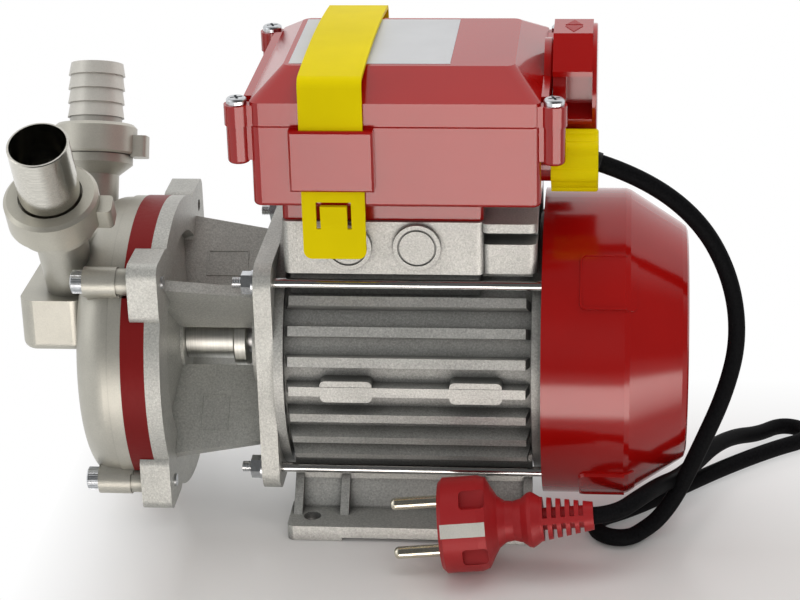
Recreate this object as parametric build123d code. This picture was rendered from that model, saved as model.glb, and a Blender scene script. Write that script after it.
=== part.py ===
from build123d import *
import math
import os

# Electric transfer pump: a self-priming pump head on a foot-mounted, fan-cooled motor.
# Sizes are millimetres. X runs along the shaft from pump head to fan, Y goes back, Z up.
# The origin is the middle of the four foot bolts, on the underside of the feet.

# Motor feet
shaft_height = 63.0
foot_pitch_x = 80.0
foot_pitch_y = 100.0
foot_hole_d = 7.0
foot_edge_x = 9.2
foot_edge_y = 9.0
foot_thick = 6.2
foot_rail_width = 23.0
foot_pad_length = 21.9
foot_relief = 1.4

# Motor frame
frame_front_x = -52.8
frame_length = 104.6
frame_bore_r = 45.0
frame_wall = 3.0
frame_rim_thick = 3.8
frame_rim_r = 52.0
fin_tip_r = 54.0
fin_thick = 3.9
fin_count = 28
fin_bevel = 2.2
fin_pad_height = 9.0
fin_pad_length = 20.5

# Terminal pad cast on top of the frame
pad_x0 = -48.5
pad_length = 77.9
pad_width = 80.0
pad_top_z = 128.9
pad_height = 21.6
pad_neck_width = 71.0
knockout_r = 9.2
knockout_pitch = 26.8
knockout_drop = 9.9
knockout_proud = 2.0

# Tie rods through the motor
rod_circle_r = 56.71
rod_offset = rod_circle_r / math.sqrt(2)
rod_r = 2.0
rod_edge = 0.99
rod_clearance = 0.3
rod_stud = 9.0
rod_nut_flats = 8.0
rod_nut_thick = 3.9
rod_washer_r = 5.0
rod_washer_thick = 1.4
rod_blind = 0.5

# Lantern bracket between motor and pump head
bracket_rear_thick = 7.0
bracket_rear_half = 48.5
bracket_window = 36.6
bracket_front_thick = 6.2
bracket_front_r = 59.6
bracket_hub_length = 1.0
bracket_dish_r = 42.0
bracket_dish_depth = 4.2
bracket_web_thick = 4.5
bracket_web_front_r = 53.5
bracket_web_rear_r = 46.0
bracket_web_inner_r = 14.0
bracket_spigot = 4.0
bearing_boss = 6.2
bearing_boss_r = 21.0
seal_bore_r = 13.5

# Pump head, whose middle sits a little under the shaft
head_drop = 2.2
ring_thick = 9.5
ring_bore_r = 47.0
head_screw_offset = 43.1
head_screw_r = 2.5
head_screw_head_r = 4.5
head_screw_head = 5.0
lug_thick = 11.9
lug_edge = 9.8
lug_width = 25.0
casing_r = 58.8
casing_round = 12.0
casing_depth = 19.8
casing_wall = 4.9
casing_rim_r = 59.4
casing_rim_thick = 5.2
casing_boss_r = 6.0
casing_boss_tip_r = 5.4
casing_boss_length = 13.2
casing_boss_tip = 5.5
oring_r = 51.0
oring_thick = 1.8
port_plate_thick = 4.0
port_plate_r = 49.0

# Port block and hose connections
port_plane = 6.0
port_tilt = 26.0
port_apex_z = 53.3
block_depth = 25.0
block_half_width = 35.0
block_bottom_z = 70.0
block_top_z = 92.0
block_round = 6.0
neck_r = 10.2
neck_bore_r = 7.5
neck_flare_start = 75.0
neck_top = 87.4
neck_spigot_r = 14.6
nut_bottom = 83.4
nut_height = 12.7
nut_r = 17.4
inlet_nut_r = 18.6
nut_lip = 4.1
nut_mouth_r = 12.7
thread_gap = 0.1
gasket_thick = 1.8
pipe_flange_r = 14.3
inlet_pipe_r = 12.0
inlet_pipe_bore_r = 11.1
inlet_pipe_top = 123.6
barb_root_r = 10.9
barb_ridge_r = 11.8
barb_bore_r = 9.4
barb_pitch = 5.9
barb_count = 4
barb_top = 121.9
barb_tip_length = 5.3
nut_lug_reach = 5.0
nut_lug_width = 9.0
nut_lug_height = 9.0

# Shaft, bearings and what turns
shaft_core_r = 10.0
shaft_seat_r = 7.5
shaft_front_r = 7.0
shaft_tail_r = 6.0
shaft_thread_r = 4.0
shaft_front_end = 6.6
front_bearing_r = 17.5
front_bearing_width = 11.0
rear_bearing_r = 16.0
rear_bearing_width = 10.0
bearing_setback = 1.2
running_gap = 0.03
sleeve_r = 9.45
sleeve_length = 19.8
slinger_r = 12.5
slinger_length = 5.6
seal_head_r = 12.0
seal_seat_thick = 2.0
impeller_rim_gap = 0.6
impeller_side_gap = 0.5
impeller_hub_r = 13.0
impeller_blades = 24
impeller_nut_flats = 13.0
impeller_nut_thick = 5.0
key_width = 4.0
key_height = 2.2

# Winding stack
stator_length = 70.0
stator_bore_r = 30.0
air_gap = 0.4
winding_overhang = 9.0
winding_inner_r = 32.0
winding_outer_r = 41.5
rotor_ring_thick = 5.0

# Fan end
cover_wall = 2.1
cover_cylinder = 33.1
cover_cone = 23.8
cover_taper = 15.3
cover_gap = 0.1
shield_r = rod_circle_r + rod_r + rod_edge
cover_r = shield_r + cover_gap + cover_wall
cover_pad_width = 23.0
cover_pad_length = 21.9
cover_pad_proud = 0.7
cover_pad_start = 14.8
cover_rear_r = cover_r - cover_taper
grille_slot = 3.2
grille_rings = 5
grille_hub_r = 9.0
grille_spokes = 6
shield_thick = 4.0
shield_boss_r = 20.0
fan_start = 15.0
fan_width = 16.0
fan_disc_thick = 2.0
fan_clearance = 9.8
fan_r = cover_r - cover_wall - fan_clearance
fan_hub_r = 9.5
fan_blades = 8
fan_blade_thick = 2.0

# Switch and terminal box
box_centre_x = -2.7
box_length = 109.0
box_width = 103.2
box_wall = 3.0
box_floor = 2.5
box_floor_z = 139.2
box_seam_z = 171.0
box_corner_r = 3.5
box_collar_inset = 2.0
lid_skirt_top_z = 180.2
lid_top_z = 189.0
lid_top_length = 88.0
lid_top_width = 64.4
lid_top_x = -2.5
lid_top_thick = 2.5
lid_boss_height = 8.0
lid_lip_half = 42.0
lid_lip_reach = 3.1
lid_lip_height = 4.2
gasket_width = 1.4
gasket_height = 1.5
gasket_gap = 0.05
corner_boss_r = 4.9
corner_boss_offset_x = 59.4
corner_boss_offset_y = 48.0
corner_boss_drop = 15.0
corner_step = 0.6
corner_nose = 1.4
seam_bevel = 0.3
lid_screw_r = 1.9
lid_screw_head_r = 3.9
lid_screw_head = 2.6
lid_screw_length = 16.0

# Carry strap over the lid
strap_x = -26.3
strap_width = 24.0
strap_thick = 1.5
strap_wall_gap = 0.8
strap_gap = 0.4
strap_bottom_z = 119.0
strap_fold_z = 190.3
strap_back_fold_z = 188.8
strap_crown_z = 192.3
strap_bend_r = 2.5
strap_corner_r = 3.2
tongue_width = 10.2
tongue_low_z = 131.0
tongue_top_z = 140.3
tongue_slot = 1.6
tongue_step = 0.7
guide_bottom_z = 146.7
guide_top_z = 170.6
guide_wall = 2.0
guide_cheek = 3.5

# Reversing switch
switch_z = 173.0
switch_turn = 50.0
switch_plate_r = 17.0
switch_plate_thick = 3.2
switch_gap = 0.3
knob_flat_r = 22.2
knob_top_half = 9.8
knob_side_half = 21.4
knob_side_drop = 10.4
knob_grip_thick = 15.1
knob_hub_r = 18.5
knob_hub_thick = 5.0
knob_rim_thick = 1.7
knob_rim_r = 22.6
knob_neck_half = 9.0
spindle_r = 3.0
switch_body_length = 17.0
switch_body_side = 30.0
switch_body_drop = 17.0
bushing_r = 6.0

# Cable gland
gland_y = -28.5
gland_z = 150.5
gland_stub_r = 8.0
gland_stub_length = 3.4
gland_nut_r = 12.0
gland_nut_length = 17.8
gland_lobes = 6
gland_lobe_r = 3.6
gland_bore_r = 6.5
gland_thread = 8.0
gland_mouth_r = 5.6
cord_r = 3.4

# Mains plug, lying in front of the motor
plug_x = 14.3
plug_y = -79.5
plug_r = 18.4
plug_z = 19.0
plug_tilt = 5.0
plug_yaw = 1.0
plug_roll = 20.0
plug_flare_x = 34.5
plug_relief_x = 38.5
plug_tail_x = 58.7
plug_face_thick = 15.0
plug_neck_r = 7.6
plug_flare_r = 10.8
plug_relief_r = 8.6
plug_relief_end_r = 5.4
pin_r = 2.4
pin_length = 19.0
pin_pitch = 19.0
earth_half = 2.7
earth_length = 17.0
earth_thick = 1.0
relief_ribs = 5

# Corners of the cord's route, from the gland to the plug
cord_route = [
    (73.6, -28.5, 149.4),
    (90.0, -28.5, 143.8),
    (112.0, -27.8, 126.5),
    (124.5, -27.0, 103.0),
    (128.5, -28.5, 78.0),
    (123.8, -33.0, 56.0),
    (113.5, -39.0, 33.0),
    (105.5, -44.0, 16.5),
    (98.5, -47.5, 7.0),
    (92.0, -51.5, 3.5),
    (86.5, -58.0, 3.5),
    (78.0, -57.6, 3.5),
    (72.7, -50.9, 3.5),
    (74.0, -42.5, 3.5),
    (86.1, -34.6, 3.5),
    (104.0, -17.5, 3.5),
    (126.0, 5.0, 3.5),
    (148.0, 23.6, 3.5),
    (162.5, 32.6, 3.5),
    (161.5, 43.0, 3.5),
    (151.3, 46.4, 3.5),
    (141.5, 35.0, 4.5),
    (130.5, 21.5, 9.8),
    (121.5, 5.0, 13.6),
    (114.0, -12.0, 14.4),
    (106.5, -30.0, 16.5),
    (99.0, -51.0, 24.0),
    (91.0, -68.5, 27.5),
]
cord_tail_run = 8.4

# Parts inside the box
capacitor_r = 12.5
capacitor_length = 52.0
capacitor_x0 = -50.0
capacitor_y = 28.0
terminal_height = 13.0
terminal_length = 42.0
terminal_width = 18.0
terminal_x0 = -45.0
terminal_y0 = -40.0
wire_hole_r = 9.0

# Stations along the shaft that follow from the sizes above
axis_z = shaft_height
head_z = shaft_height - head_drop
frame_rear_x = frame_front_x + frame_length
bracket_rear_x = frame_front_x - bracket_rear_thick
window_front_x = bracket_rear_x - bracket_window
bracket_front_x = window_front_x - bracket_front_thick
ring_front_x = bracket_front_x - ring_thick
casing_front_x = ring_front_x - casing_depth
rim_front_x = ring_front_x - casing_rim_thick
lug_front_x = window_front_x - lug_thick
boss_step_x = lug_front_x - casing_boss_tip
boss_front_x = boss_step_x - casing_boss_length
port_x = casing_front_x - port_plane
hub_rear_x = window_front_x + bracket_hub_length
cover_cone_x = frame_rear_x + cover_cylinder
cover_end_x = cover_cone_x + cover_cone
shield_front_x = frame_rear_x
shield_rear_x = shield_front_x + shield_thick
rear_bearing_x = shield_front_x + bearing_setback
front_bearing_x = frame_front_x + bracket_spigot - bearing_setback - front_bearing_width
box_x0 = box_centre_x - box_length / 2
box_x1 = box_centre_x + box_length / 2
box_front_y = -box_width / 2
box_back_y = box_width / 2
pad_x1 = pad_x0 + pad_length
wire_hole_x = pad_x0 + pad_length / 2
impeller_r = ring_bore_r - head_drop - impeller_rim_gap
strap_outer_y = -box_front_y + strap_wall_gap + strap_thick
knob_x0 = box_x1 + switch_plate_thick + switch_gap
plug_axis = (
    math.cos(math.radians(plug_yaw)) * math.cos(math.radians(plug_tilt)),
    math.sin(math.radians(plug_yaw)),
    math.cos(math.radians(plug_yaw)) * math.sin(math.radians(plug_tilt)),
)
plug_face = (plug_x, plug_y, plug_z)
for reach in (plug_tail_x + cord_tail_run, plug_tail_x):
    cord_route.append(tuple(value + reach * step for value, step in zip(plug_face, plug_axis)))
quadrants = [(-1, -1), (-1, 1), (1, -1), (1, 1)]
head_corners = [(sy * head_screw_offset, head_z + sz * head_screw_offset) for sy, sz in quadrants]
screwed_corners = head_corners[:3]
rod_corners = [(sy * rod_offset, axis_z + sz * rod_offset) for sy, sz in quadrants]


def span_box(x0, x1, y0, y1, z0, z1):
    """Box between two opposite corners."""
    return Pos((x0 + x1) / 2, (y0 + y1) / 2, (z0 + z1) / 2) * Box(x1 - x0, y1 - y0, z1 - z0)


def rod_x(radius, x0, x1, y=0.0, z=axis_z):
    """Round bar along X."""
    return Pos((x0 + x1) / 2, y, z) * Rot(0, 90, 0) * Cylinder(radius, x1 - x0)


def ring_x(outer, inner, x0, x1, y=0.0, z=axis_z):
    """Tube along X."""
    return rod_x(outer, x0, x1, y, z) - rod_x(inner, x0 - 1, x1 + 1, y, z)


def turned_x(points, y=0.0, z=axis_z):
    """Body of revolution about an X line, from (x, radius) points."""
    plane = Plane(origin=(0, y, z), x_dir=(1, 0, 0), z_dir=(0, -1, 0))
    outline = make_face(Polyline(*points, close=True))
    return revolve(plane * outline, Axis((0, y, z), (1, 0, 0)), 360)


def turned_z(points):
    """Body of revolution about the local Z axis, from (radius, z) points."""
    outline = make_face(Polyline(*points, close=True))
    return revolve(Plane.XZ * outline, Axis.Z, 360)


def plate_x(outline, x0, x1):
    """Prism along X from an outline drawn in (y, z)."""
    return extrude(Plane.YZ.offset(x0) * outline, x1 - x0)


def radial_plate(inner, outer, thick, x0, x1, angle, z=axis_z):
    """Flat plate standing on the shaft line at an angle above the front horizontal."""
    plate = span_box(x0, x1, -outer, -inner, -thick / 2, thick / 2)
    return Pos(0, 0, z) * Rot(-angle, 0, 0) * plate


def fuse(solids):
    """One solid from a list."""
    result = solids[0]
    for solid in solids[1:]:
        result = result + solid
    return result


# Motor frame with fins, feet and terminal pad

def frame_fin(angle):
    """One radial fin with a bevelled nose at each end."""
    x0 = frame_front_x + frame_rim_thick
    x1 = frame_rear_x - frame_rim_thick
    root = frame_bore_r + frame_wall - 0.6
    outline = Polyline(
        (x0 - 0.5, -root),
        (x0 + 0.5, -root),
        (x0 + fin_bevel, -fin_tip_r),
        (x1 - fin_bevel, -fin_tip_r),
        (x1 - 0.5, -root),
        (x1 + 0.5, -root),
        (x1 + 0.5, -root + 1.5),
        (x0 - 0.5, -root + 1.5),
        close=True,
    )
    fin = extrude(Plane.XY.offset(-fin_thick / 2) * make_face(outline), fin_thick)
    return Pos(0, 0, axis_z) * Rot(-angle, 0, 0) * fin


def frame_fins():
    """All fins, apart from those under the terminal pad, behind the rods and over the feet."""
    pitch = 360 / fin_count
    fins = []
    for index in range(fin_count):
        angle = (index * pitch + 180) % 360 - 180
        side = min(abs(angle), 180 - abs(angle))
        low = angle < 0
        near_rod = abs(side - 45) < 0.4 * pitch
        over_feet = low and side > 45
        under_pad = not low and side > 45
        if near_rod or over_feet or under_pad:
            continue
        fins.append(frame_fin(angle))
    return fins


def fin_pads():
    """Cast blocks that bridge the fins at mid height on both sides."""
    blocks = []
    for side in (-1, 1):
        for start in (-0.33, 0.155):
            x0 = start * frame_length
            y0 = side * (frame_bore_r + 1)
            y1 = side * (fin_tip_r - 0.2)
            low = axis_z - fin_pad_height / 2
            x1 = x0 + fin_pad_length
            block = span_box(x0, x1, min(y0, y1), max(y0, y1), low, low + fin_pad_height)
            blocks.append(fillet(block.edges().filter_by(Axis.Y), 2.2))
    return blocks


def terminal_pad():
    """Block on top of the frame that carries the box, with two knock-outs each side."""
    x1 = pad_x0 + pad_length
    z0 = pad_top_z - pad_height
    half = pad_width / 2
    pad = span_box(pad_x0, x1, -half, half, z0, pad_top_z)
    pad = fillet(pad.edges().filter_by(Axis.Z), 2.5)
    neck = span_box(pad_x0 + 2, x1 - 2, -pad_neck_width / 2, pad_neck_width / 2, axis_z + 34, z0 + 1)
    body = pad + neck
    middle = pad_x0 + pad_length * 0.5
    for side in (-1, 1):
        for step in (-0.5, 0.5):
            x = middle + step * knockout_pitch
            z = pad_top_z - knockout_drop
            y = side * half
            disc = Pos(x, y, z) * Rot(90, 0, 0) * Cylinder(knockout_r, 2 * knockout_proud)
            groove = Pos(x, y + side * knockout_proud, z) * Rot(90, 0, 0)
            ring = groove * (Cylinder(knockout_r - 1.6, 1.6) - Cylinder(knockout_r - 2.4, 4))
            body = body + disc - ring
    return body


def pad_ribs():
    """Two cast shelves beside the terminal pad, at the fan end."""
    x0 = pad_x0 + pad_length - 1
    x1 = frame_rear_x - frame_rim_thick / 2
    half = pad_width / 2
    top = span_box(x0, x1, -half, half, pad_top_z - 4.2, pad_top_z - 0.6)
    low = span_box(x0, x1, -half + 1.5, half - 1.5, pad_top_z - pad_height, pad_top_z - 9.5)
    spine = span_box(x0, x1, -half + 12, half - 12, axis_z + 38, pad_top_z - 1)
    top = fillet(top.edges().filter_by(Axis.Z), 3)
    low = fillet(low.edges().filter_by(Axis.Z), 3)
    return top + low + spine


def frame_feet():
    """Two foot rails with ears for the bolts and webs up to the frame."""
    x_out = foot_pitch_x / 2 + foot_edge_x
    y_out = foot_pitch_y / 2 + foot_edge_y
    y_in = y_out - foot_rail_width
    parts = []
    for side in (-1, 1):
        y0, y1 = sorted((side * y_in, side * y_out))
        rail = span_box(-x_out, x_out, y0, y1, 0, foot_thick)
        rail = fillet(rail.edges().filter_by(Axis.Z), 2.5)
        inset = x_out - foot_pad_length
        relief = span_box(-inset, inset, -y_out - 1, y_out + 1, -1, foot_relief)
        rail = rail - relief
        for end in (-1, 1):
            hole = Pos(end * foot_pitch_x / 2, side * foot_pitch_y / 2, 0) * Cylinder(foot_hole_d / 2, 40)
            rail = rail - hole
        parts.append(rail)
        outline = [
            (y_in, 0.5),
            (y_in + 7.0, 0.5),
            (y_in + 6.0, 7.0),
            (y_in + 1.4, 17.0),
            (y_in + 1.4, 29.0),
            (y_in - 1.0, 36.0),
            (y_in - 6.0, 36.0),
            (y_in - 6.0, 27.0),
            (y_in - 4.6, 20.0),
            (y_in, 6.0),
        ]
        web_outline = Polyline(*[(side * y, z) for y, z in outline], close=True)
        web = plate_x(make_face(web_outline), -x_out + 1.5, x_out - 1.5)
        parts.append(web - relief)
        for end in (-1, 1):
            for place in (x_out - 3.2, x_out - foot_pad_length):
                gusset = make_face(
                    Polyline(
                        (side * (y_in + 2), foot_thick - 1),
                        (side * (y_out - 9), foot_thick - 1),
                        (side * (y_in + 1), 19.5),
                        close=True,
                    )
                )
                x = end * place
                parts.append(plate_x(gusset, x - 1.7, x + 1.7))
    return parts


def motor_frame():
    """Finned aluminium frame in one casting with feet and terminal pad."""
    outer = frame_bore_r + frame_wall
    body = rod_x(outer, frame_front_x, frame_rear_x)
    body = body + rod_x(frame_rim_r, frame_front_x, frame_front_x + frame_rim_thick)
    body = body + rod_x(frame_rim_r, frame_rear_x - frame_rim_thick, frame_rear_x)
    body = fuse([body] + frame_fins())
    body = fuse([body] + fin_pads())
    body = body + terminal_pad() + pad_ribs()
    body = fuse([body] + frame_feet())
    body = body - rod_x(frame_bore_r, frame_front_x - 1, frame_rear_x + 1)
    wire_hole = Cylinder(wire_hole_r, 60, align=(Align.CENTER, Align.CENTER, Align.MAX))
    body = body - Pos(wire_hole_x, 0, pad_top_z) * wire_hole
    for y, z in rod_corners:
        body = body - rod_x(rod_r + rod_clearance, frame_front_x - 1, frame_rear_x + 1, y, z)
    return body


# Lantern bracket

def front_lug(corner, x0, x1):
    """Square lug for one pump head screw."""
    y, z = corner
    side_y = math.copysign(1, y)
    side_z = math.copysign(1, z - head_z)
    shift = lug_width / 2 - lug_edge
    centre = (y - side_y * shift, z - side_z * shift)
    outline = Pos(centre[0], centre[1]) * RectangleRounded(lug_width, lug_width, 5)
    return plate_x(outline, x0, x1)


def bracket_web(turn):
    """Diagonal web between the two flanges, narrower towards the motor."""
    outline = Polyline(
        (window_front_x - bracket_dish_depth - 0.5, bracket_web_inner_r),
        (window_front_x - bracket_dish_depth - 0.5, bracket_web_front_r),
        (bracket_rear_x + 1, bracket_web_rear_r),
        (bracket_rear_x + 1, bracket_web_inner_r),
        close=True,
    )
    web = extrude(Plane.XY.offset(-bracket_web_thick / 2) * make_face(outline), bracket_web_thick)
    return Pos(0, 0, axis_z) * Rot(turn, 0, 0) * web


def lantern_bracket():
    """Bracket with front flange for the head, rear flange for the motor and four webs."""
    body = rod_x(bracket_front_r, bracket_front_x, window_front_x, 0, head_z)
    dish = turned_x(
        [
            (window_front_x + 0.5, bracket_dish_r + 1.5),
            (window_front_x, bracket_dish_r + 1.2),
            (window_front_x - bracket_dish_depth, bracket_dish_r),
            (window_front_x, bracket_web_inner_r),
            (window_front_x + 0.5, bracket_web_inner_r),
        ]
    )
    body = body - dish
    body = body + rod_x(bracket_web_inner_r + 1, bracket_front_x + 1, hub_rear_x)
    for corner in head_corners:
        body = body + front_lug(corner, bracket_front_x, window_front_x)
        tip = front_lug(corner, lug_front_x, bracket_front_x)
        body = body + (tip - rod_x(bracket_front_r + 0.2, lug_front_x - 1, bracket_front_x, 0, head_z))
    side = 2 * bracket_rear_half
    flange = Pos(0, axis_z) * RectangleRounded(side, side, 9)
    body = body + plate_x(flange, bracket_rear_x, frame_front_x)
    body = body + rod_x(bearing_boss_r, bracket_rear_x - bearing_boss, bracket_rear_x)
    body = body + rod_x(frame_bore_r - 0.1, frame_front_x - 1, frame_front_x + bracket_spigot)
    for turn in (45, 135, 225, 315):
        body = body + bracket_web(turn)
    bearing_back_x = front_bearing_x - 0.2
    body = body - rod_x(front_bearing_r + 0.02, bearing_back_x, frame_front_x + bracket_spigot + 1)
    body = body - rod_x(shaft_seat_r + 2, bracket_rear_x - bearing_boss - 1, bearing_back_x + 1)
    body = body - rod_x(seal_bore_r, bracket_front_x - 1, hub_rear_x - 1.6)
    body = body - rod_x(shaft_front_r + 1.5, bracket_front_x - 1, hub_rear_x + 1)
    for y, z in head_corners:
        body = body - rod_x(head_screw_r + 0.1, lug_front_x - 1, window_front_x + 1, y, z)
    rod_hole_end = frame_front_x + bracket_spigot + 1
    for y, z in rod_corners:
        body = body - rod_x(rod_r + rod_clearance, bracket_rear_x - 1, rod_hole_end, y, z)
    return body


# Pump head

def spacer_ring():
    """Painted ring round the impeller, relieved at the screws."""
    body = ring_x(bracket_front_r, ring_bore_r, ring_front_x, bracket_front_x, 0, head_z)
    for y, z in screwed_corners:
        body = body - rod_x(casing_boss_r + 0.4, ring_front_x - 1, lug_front_x + 0.2, y, z)
        body = body - rod_x(head_screw_r + 0.4, ring_front_x - 1, bracket_front_x + 1, y, z)
    half = oring_thick / 2
    end = ring_front_x + oring_thick
    return body - ring_x(oring_r + half, oring_r - half, ring_front_x, end, 0, head_z)


def along_port(side):
    """Place on the pump's middle plane, with local Z along one hose connection."""
    return Pos(port_x, 0, port_apex_z) * Rot(-side * port_tilt, 0, 0)


def port_neck(side):
    """Cast neck that rises from the port block and flares under the union nut."""
    flare = nut_bottom - 0.4
    points = [
        (0, 30),
        (neck_r, 30),
        (neck_r, neck_flare_start),
        (neck_spigot_r + 1.2, flare - 3.5),
        (neck_spigot_r + 1.2, flare),
        (neck_spigot_r, flare),
        (neck_spigot_r, neck_top),
        (0, neck_top),
    ]
    return along_port(side) * turned_z(points)


def casing_lug(corner):
    """Round boss for one head screw, joined to the casing by a block."""
    y, z = corner
    boss = rod_x(casing_boss_r, boss_front_x, boss_step_x, y, z)
    tip = rod_x(casing_boss_tip_r, boss_step_x - 1, lug_front_x, y, z)
    angle = math.degrees(math.atan2(z - head_z, -y))
    reach = head_screw_offset * math.sqrt(2)
    half = casing_boss_r
    block = span_box(boss_front_x + 1, ring_front_x - 0.6, -reach, -casing_r + 8, -half, half)
    block = Pos(0, 0, head_z) * Rot(-angle, 0, 0) * block
    return boss + tip + block


def pump_casing():
    """Plated casing with its port block, two necks and the pumping chamber."""
    body = rod_x(casing_r, casing_front_x, ring_front_x, 0, head_z)
    body = fillet(body.edges().group_by(Axis.X)[0], casing_round)
    body = body + rod_x(casing_rim_r, rim_front_x, ring_front_x, 0, head_z)
    block = span_box(
        casing_front_x - block_depth,
        casing_front_x + 2,
        -block_half_width,
        block_half_width,
        block_bottom_z,
        block_top_z,
    )
    block = fillet(block.edges().filter_by(Axis.Z), block_round)
    block = fillet(block.edges().group_by(Axis.Z)[0], 3.5)
    body = body + block
    for side in (-1, 1):
        body = body + port_neck(side)
    saddle = span_box(port_x - neck_r + 1, port_x + neck_r - 1, -14, 14, block_top_z - 4, block_top_z + 14)
    body = body + fillet(saddle.edges().filter_by(Axis.X), 5)
    bridge = span_box(port_x, casing_front_x + 6, -22, 22, block_top_z - 6, head_z + casing_r - 4)
    body = body + fillet(bridge.edges().filter_by(Axis.X).group_by(Axis.Z)[-1], 8)
    for corner in screwed_corners:
        body = body + casing_lug(corner)
    chamber_front = casing_front_x + casing_wall
    body = body - rod_x(ring_bore_r - 1, chamber_front, ring_front_x + 1, 0, head_z)
    body = body - rod_x(port_plate_r, ring_front_x - port_plate_thick, ring_front_x + 1, 0, head_z)
    for side in (-1, 1):
        bore = Pos(0, 0, 38) * Cylinder(neck_bore_r, 60, align=(Align.CENTER, Align.CENTER, Align.MIN))
        body = body - along_port(side) * bore
        port_y = side * 38 * math.sin(math.radians(port_tilt))
        port_z = port_apex_z + 38 * math.cos(math.radians(port_tilt))
        body = body - rod_x(neck_bore_r - 0.5, port_x - 4, chamber_front + 1, port_y, port_z - 3)
    for y, z in screwed_corners:
        body = body - rod_x(head_screw_r + 0.1, boss_front_x - 1, lug_front_x + 1, y, z)
    return body


def union_nut(side, outer):
    """Round union nut with a spanner lug, open at the top for the pipe."""
    top = nut_bottom + nut_height
    lip = top - nut_lip
    points = [
        (neck_spigot_r + thread_gap, nut_bottom),
        (outer - 0.8, nut_bottom),
        (outer, nut_bottom + 0.8),
        (outer, top - 1.4),
        (outer - 1.4, top),
        (nut_mouth_r, top),
        (nut_mouth_r, lip),
        (neck_spigot_r + thread_gap, lip),
    ]
    nut = turned_z(points)
    half = nut_lug_width / 2
    low = nut_bottom - 1.0
    lug = span_box(outer - 1.5, outer + nut_lug_reach, -half, half, low, low + nut_lug_height)
    lug = fillet(lug.edges().filter_by(Axis.Z).group_by(Axis.X)[-1], 2)
    return along_port(side) * (nut + lug)


def port_gasket(side):
    """Flat gasket between neck and pipe flange."""
    ring = Cylinder(pipe_flange_r - 0.3, gasket_thick) - Cylinder(neck_bore_r + 1, gasket_thick * 3)
    return along_port(side) * Pos(0, 0, neck_top + gasket_thick / 2) * ring


def inlet_pipe():
    """Smooth thin-walled hose pipe with a flange held by the union nut."""
    base = neck_top + gasket_thick
    shoulder = nut_bottom + nut_height - nut_lip
    points = [
        (inlet_pipe_bore_r, base),
        (pipe_flange_r, base),
        (pipe_flange_r, shoulder),
        (inlet_pipe_r, shoulder),
        (inlet_pipe_r, inlet_pipe_top - 0.3),
        (inlet_pipe_r - 0.3, inlet_pipe_top),
        (inlet_pipe_bore_r, inlet_pipe_top),
    ]
    return along_port(-1) * turned_z(points)


def outlet_barb():
    """Ridged hose barb with a flange held by the union nut."""
    base = neck_top + gasket_thick
    shoulder = nut_bottom + nut_height - nut_lip
    points = [(barb_bore_r, base), (pipe_flange_r, base), (pipe_flange_r, shoulder), (barb_root_r, shoulder)]
    first_ridge = barb_top - barb_tip_length - (barb_count - 1) * barb_pitch
    for index in range(barb_count):
        edge = first_ridge + index * barb_pitch
        points.append((barb_root_r, edge))
        points.append((barb_ridge_r, edge + 0.15))
    points.append((barb_root_r, barb_top))
    points.append((barb_bore_r, barb_top))
    return along_port(1) * turned_z(points)


def head_screws():
    """Three socket head screws that clamp the head to the bracket."""
    screws = []
    head_x = boss_front_x - head_screw_head
    for y, z in screwed_corners:
        shank = rod_x(head_screw_r, boss_front_x - 0.5, window_front_x + 0.8, y, z)
        head = rod_x(head_screw_head_r, head_x, boss_front_x, y, z)
        head = chamfer(head.edges().group_by(Axis.X)[0], 0.5)
        socket = plate_x(Pos(y, z) * RegularPolygon(2.3, 6), head_x - 1, boss_front_x - 2.6)
        screws.append(head + shank - socket)
    return Compound(children=screws)


def casing_o_ring():
    """Sealing ring between casing and spacer ring."""
    half = oring_thick / 2
    return ring_x(oring_r + half, oring_r - half, ring_front_x, ring_front_x + oring_thick, 0, head_z)


def port_plate():
    """Plate with the suction and pressure windows, in front of the impeller."""
    x0 = ring_front_x - port_plate_thick
    body = rod_x(port_plate_r, x0, ring_front_x, 0, head_z)
    body = body - rod_x(shaft_front_r + 2.5, x0 - 1, ring_front_x + 1)
    for side in (-1, 1):
        body = body - rod_x(6.0, x0 - 1, ring_front_x + 1, side * 17.0, head_z + 24)
    return body


# Rotor

def motor_shaft():
    """Stepped shaft from impeller nut to fan."""
    impeller_front = ring_front_x + impeller_side_gap
    impeller_rear = bracket_front_x - impeller_side_gap
    front_end = impeller_front - shaft_front_end
    core_front = front_bearing_x + front_bearing_width + 0.3
    points = [
        (front_end, 0),
        (front_end, shaft_thread_r),
        (impeller_front, shaft_thread_r),
        (impeller_front, shaft_front_r - 1),
        (impeller_rear, shaft_front_r - 1),
        (impeller_rear, shaft_front_r),
        (front_bearing_x - 2, shaft_front_r),
        (front_bearing_x - 2, shaft_seat_r),
        (core_front, shaft_seat_r),
        (core_front, shaft_core_r),
        (rear_bearing_x - 0.3, shaft_core_r),
        (rear_bearing_x - 0.3, shaft_tail_r),
        (shield_rear_x + fan_start + fan_width + 4, shaft_tail_r),
        (shield_rear_x + fan_start + fan_width + 4, 0),
    ]
    shaft = turned_x(points)
    return shaft - impeller_key_slot(0.0)


def impeller_key_slot(gap):
    """Space of the impeller key, in shaft and impeller."""
    x0 = ring_front_x + impeller_side_gap + 1
    x1 = bracket_front_x - impeller_side_gap - 1
    radius = shaft_front_r - 1
    half = key_width / 2 + gap
    return span_box(x0, x1, -half, half, axis_z + radius - key_height, axis_z + radius + key_height + gap)


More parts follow.
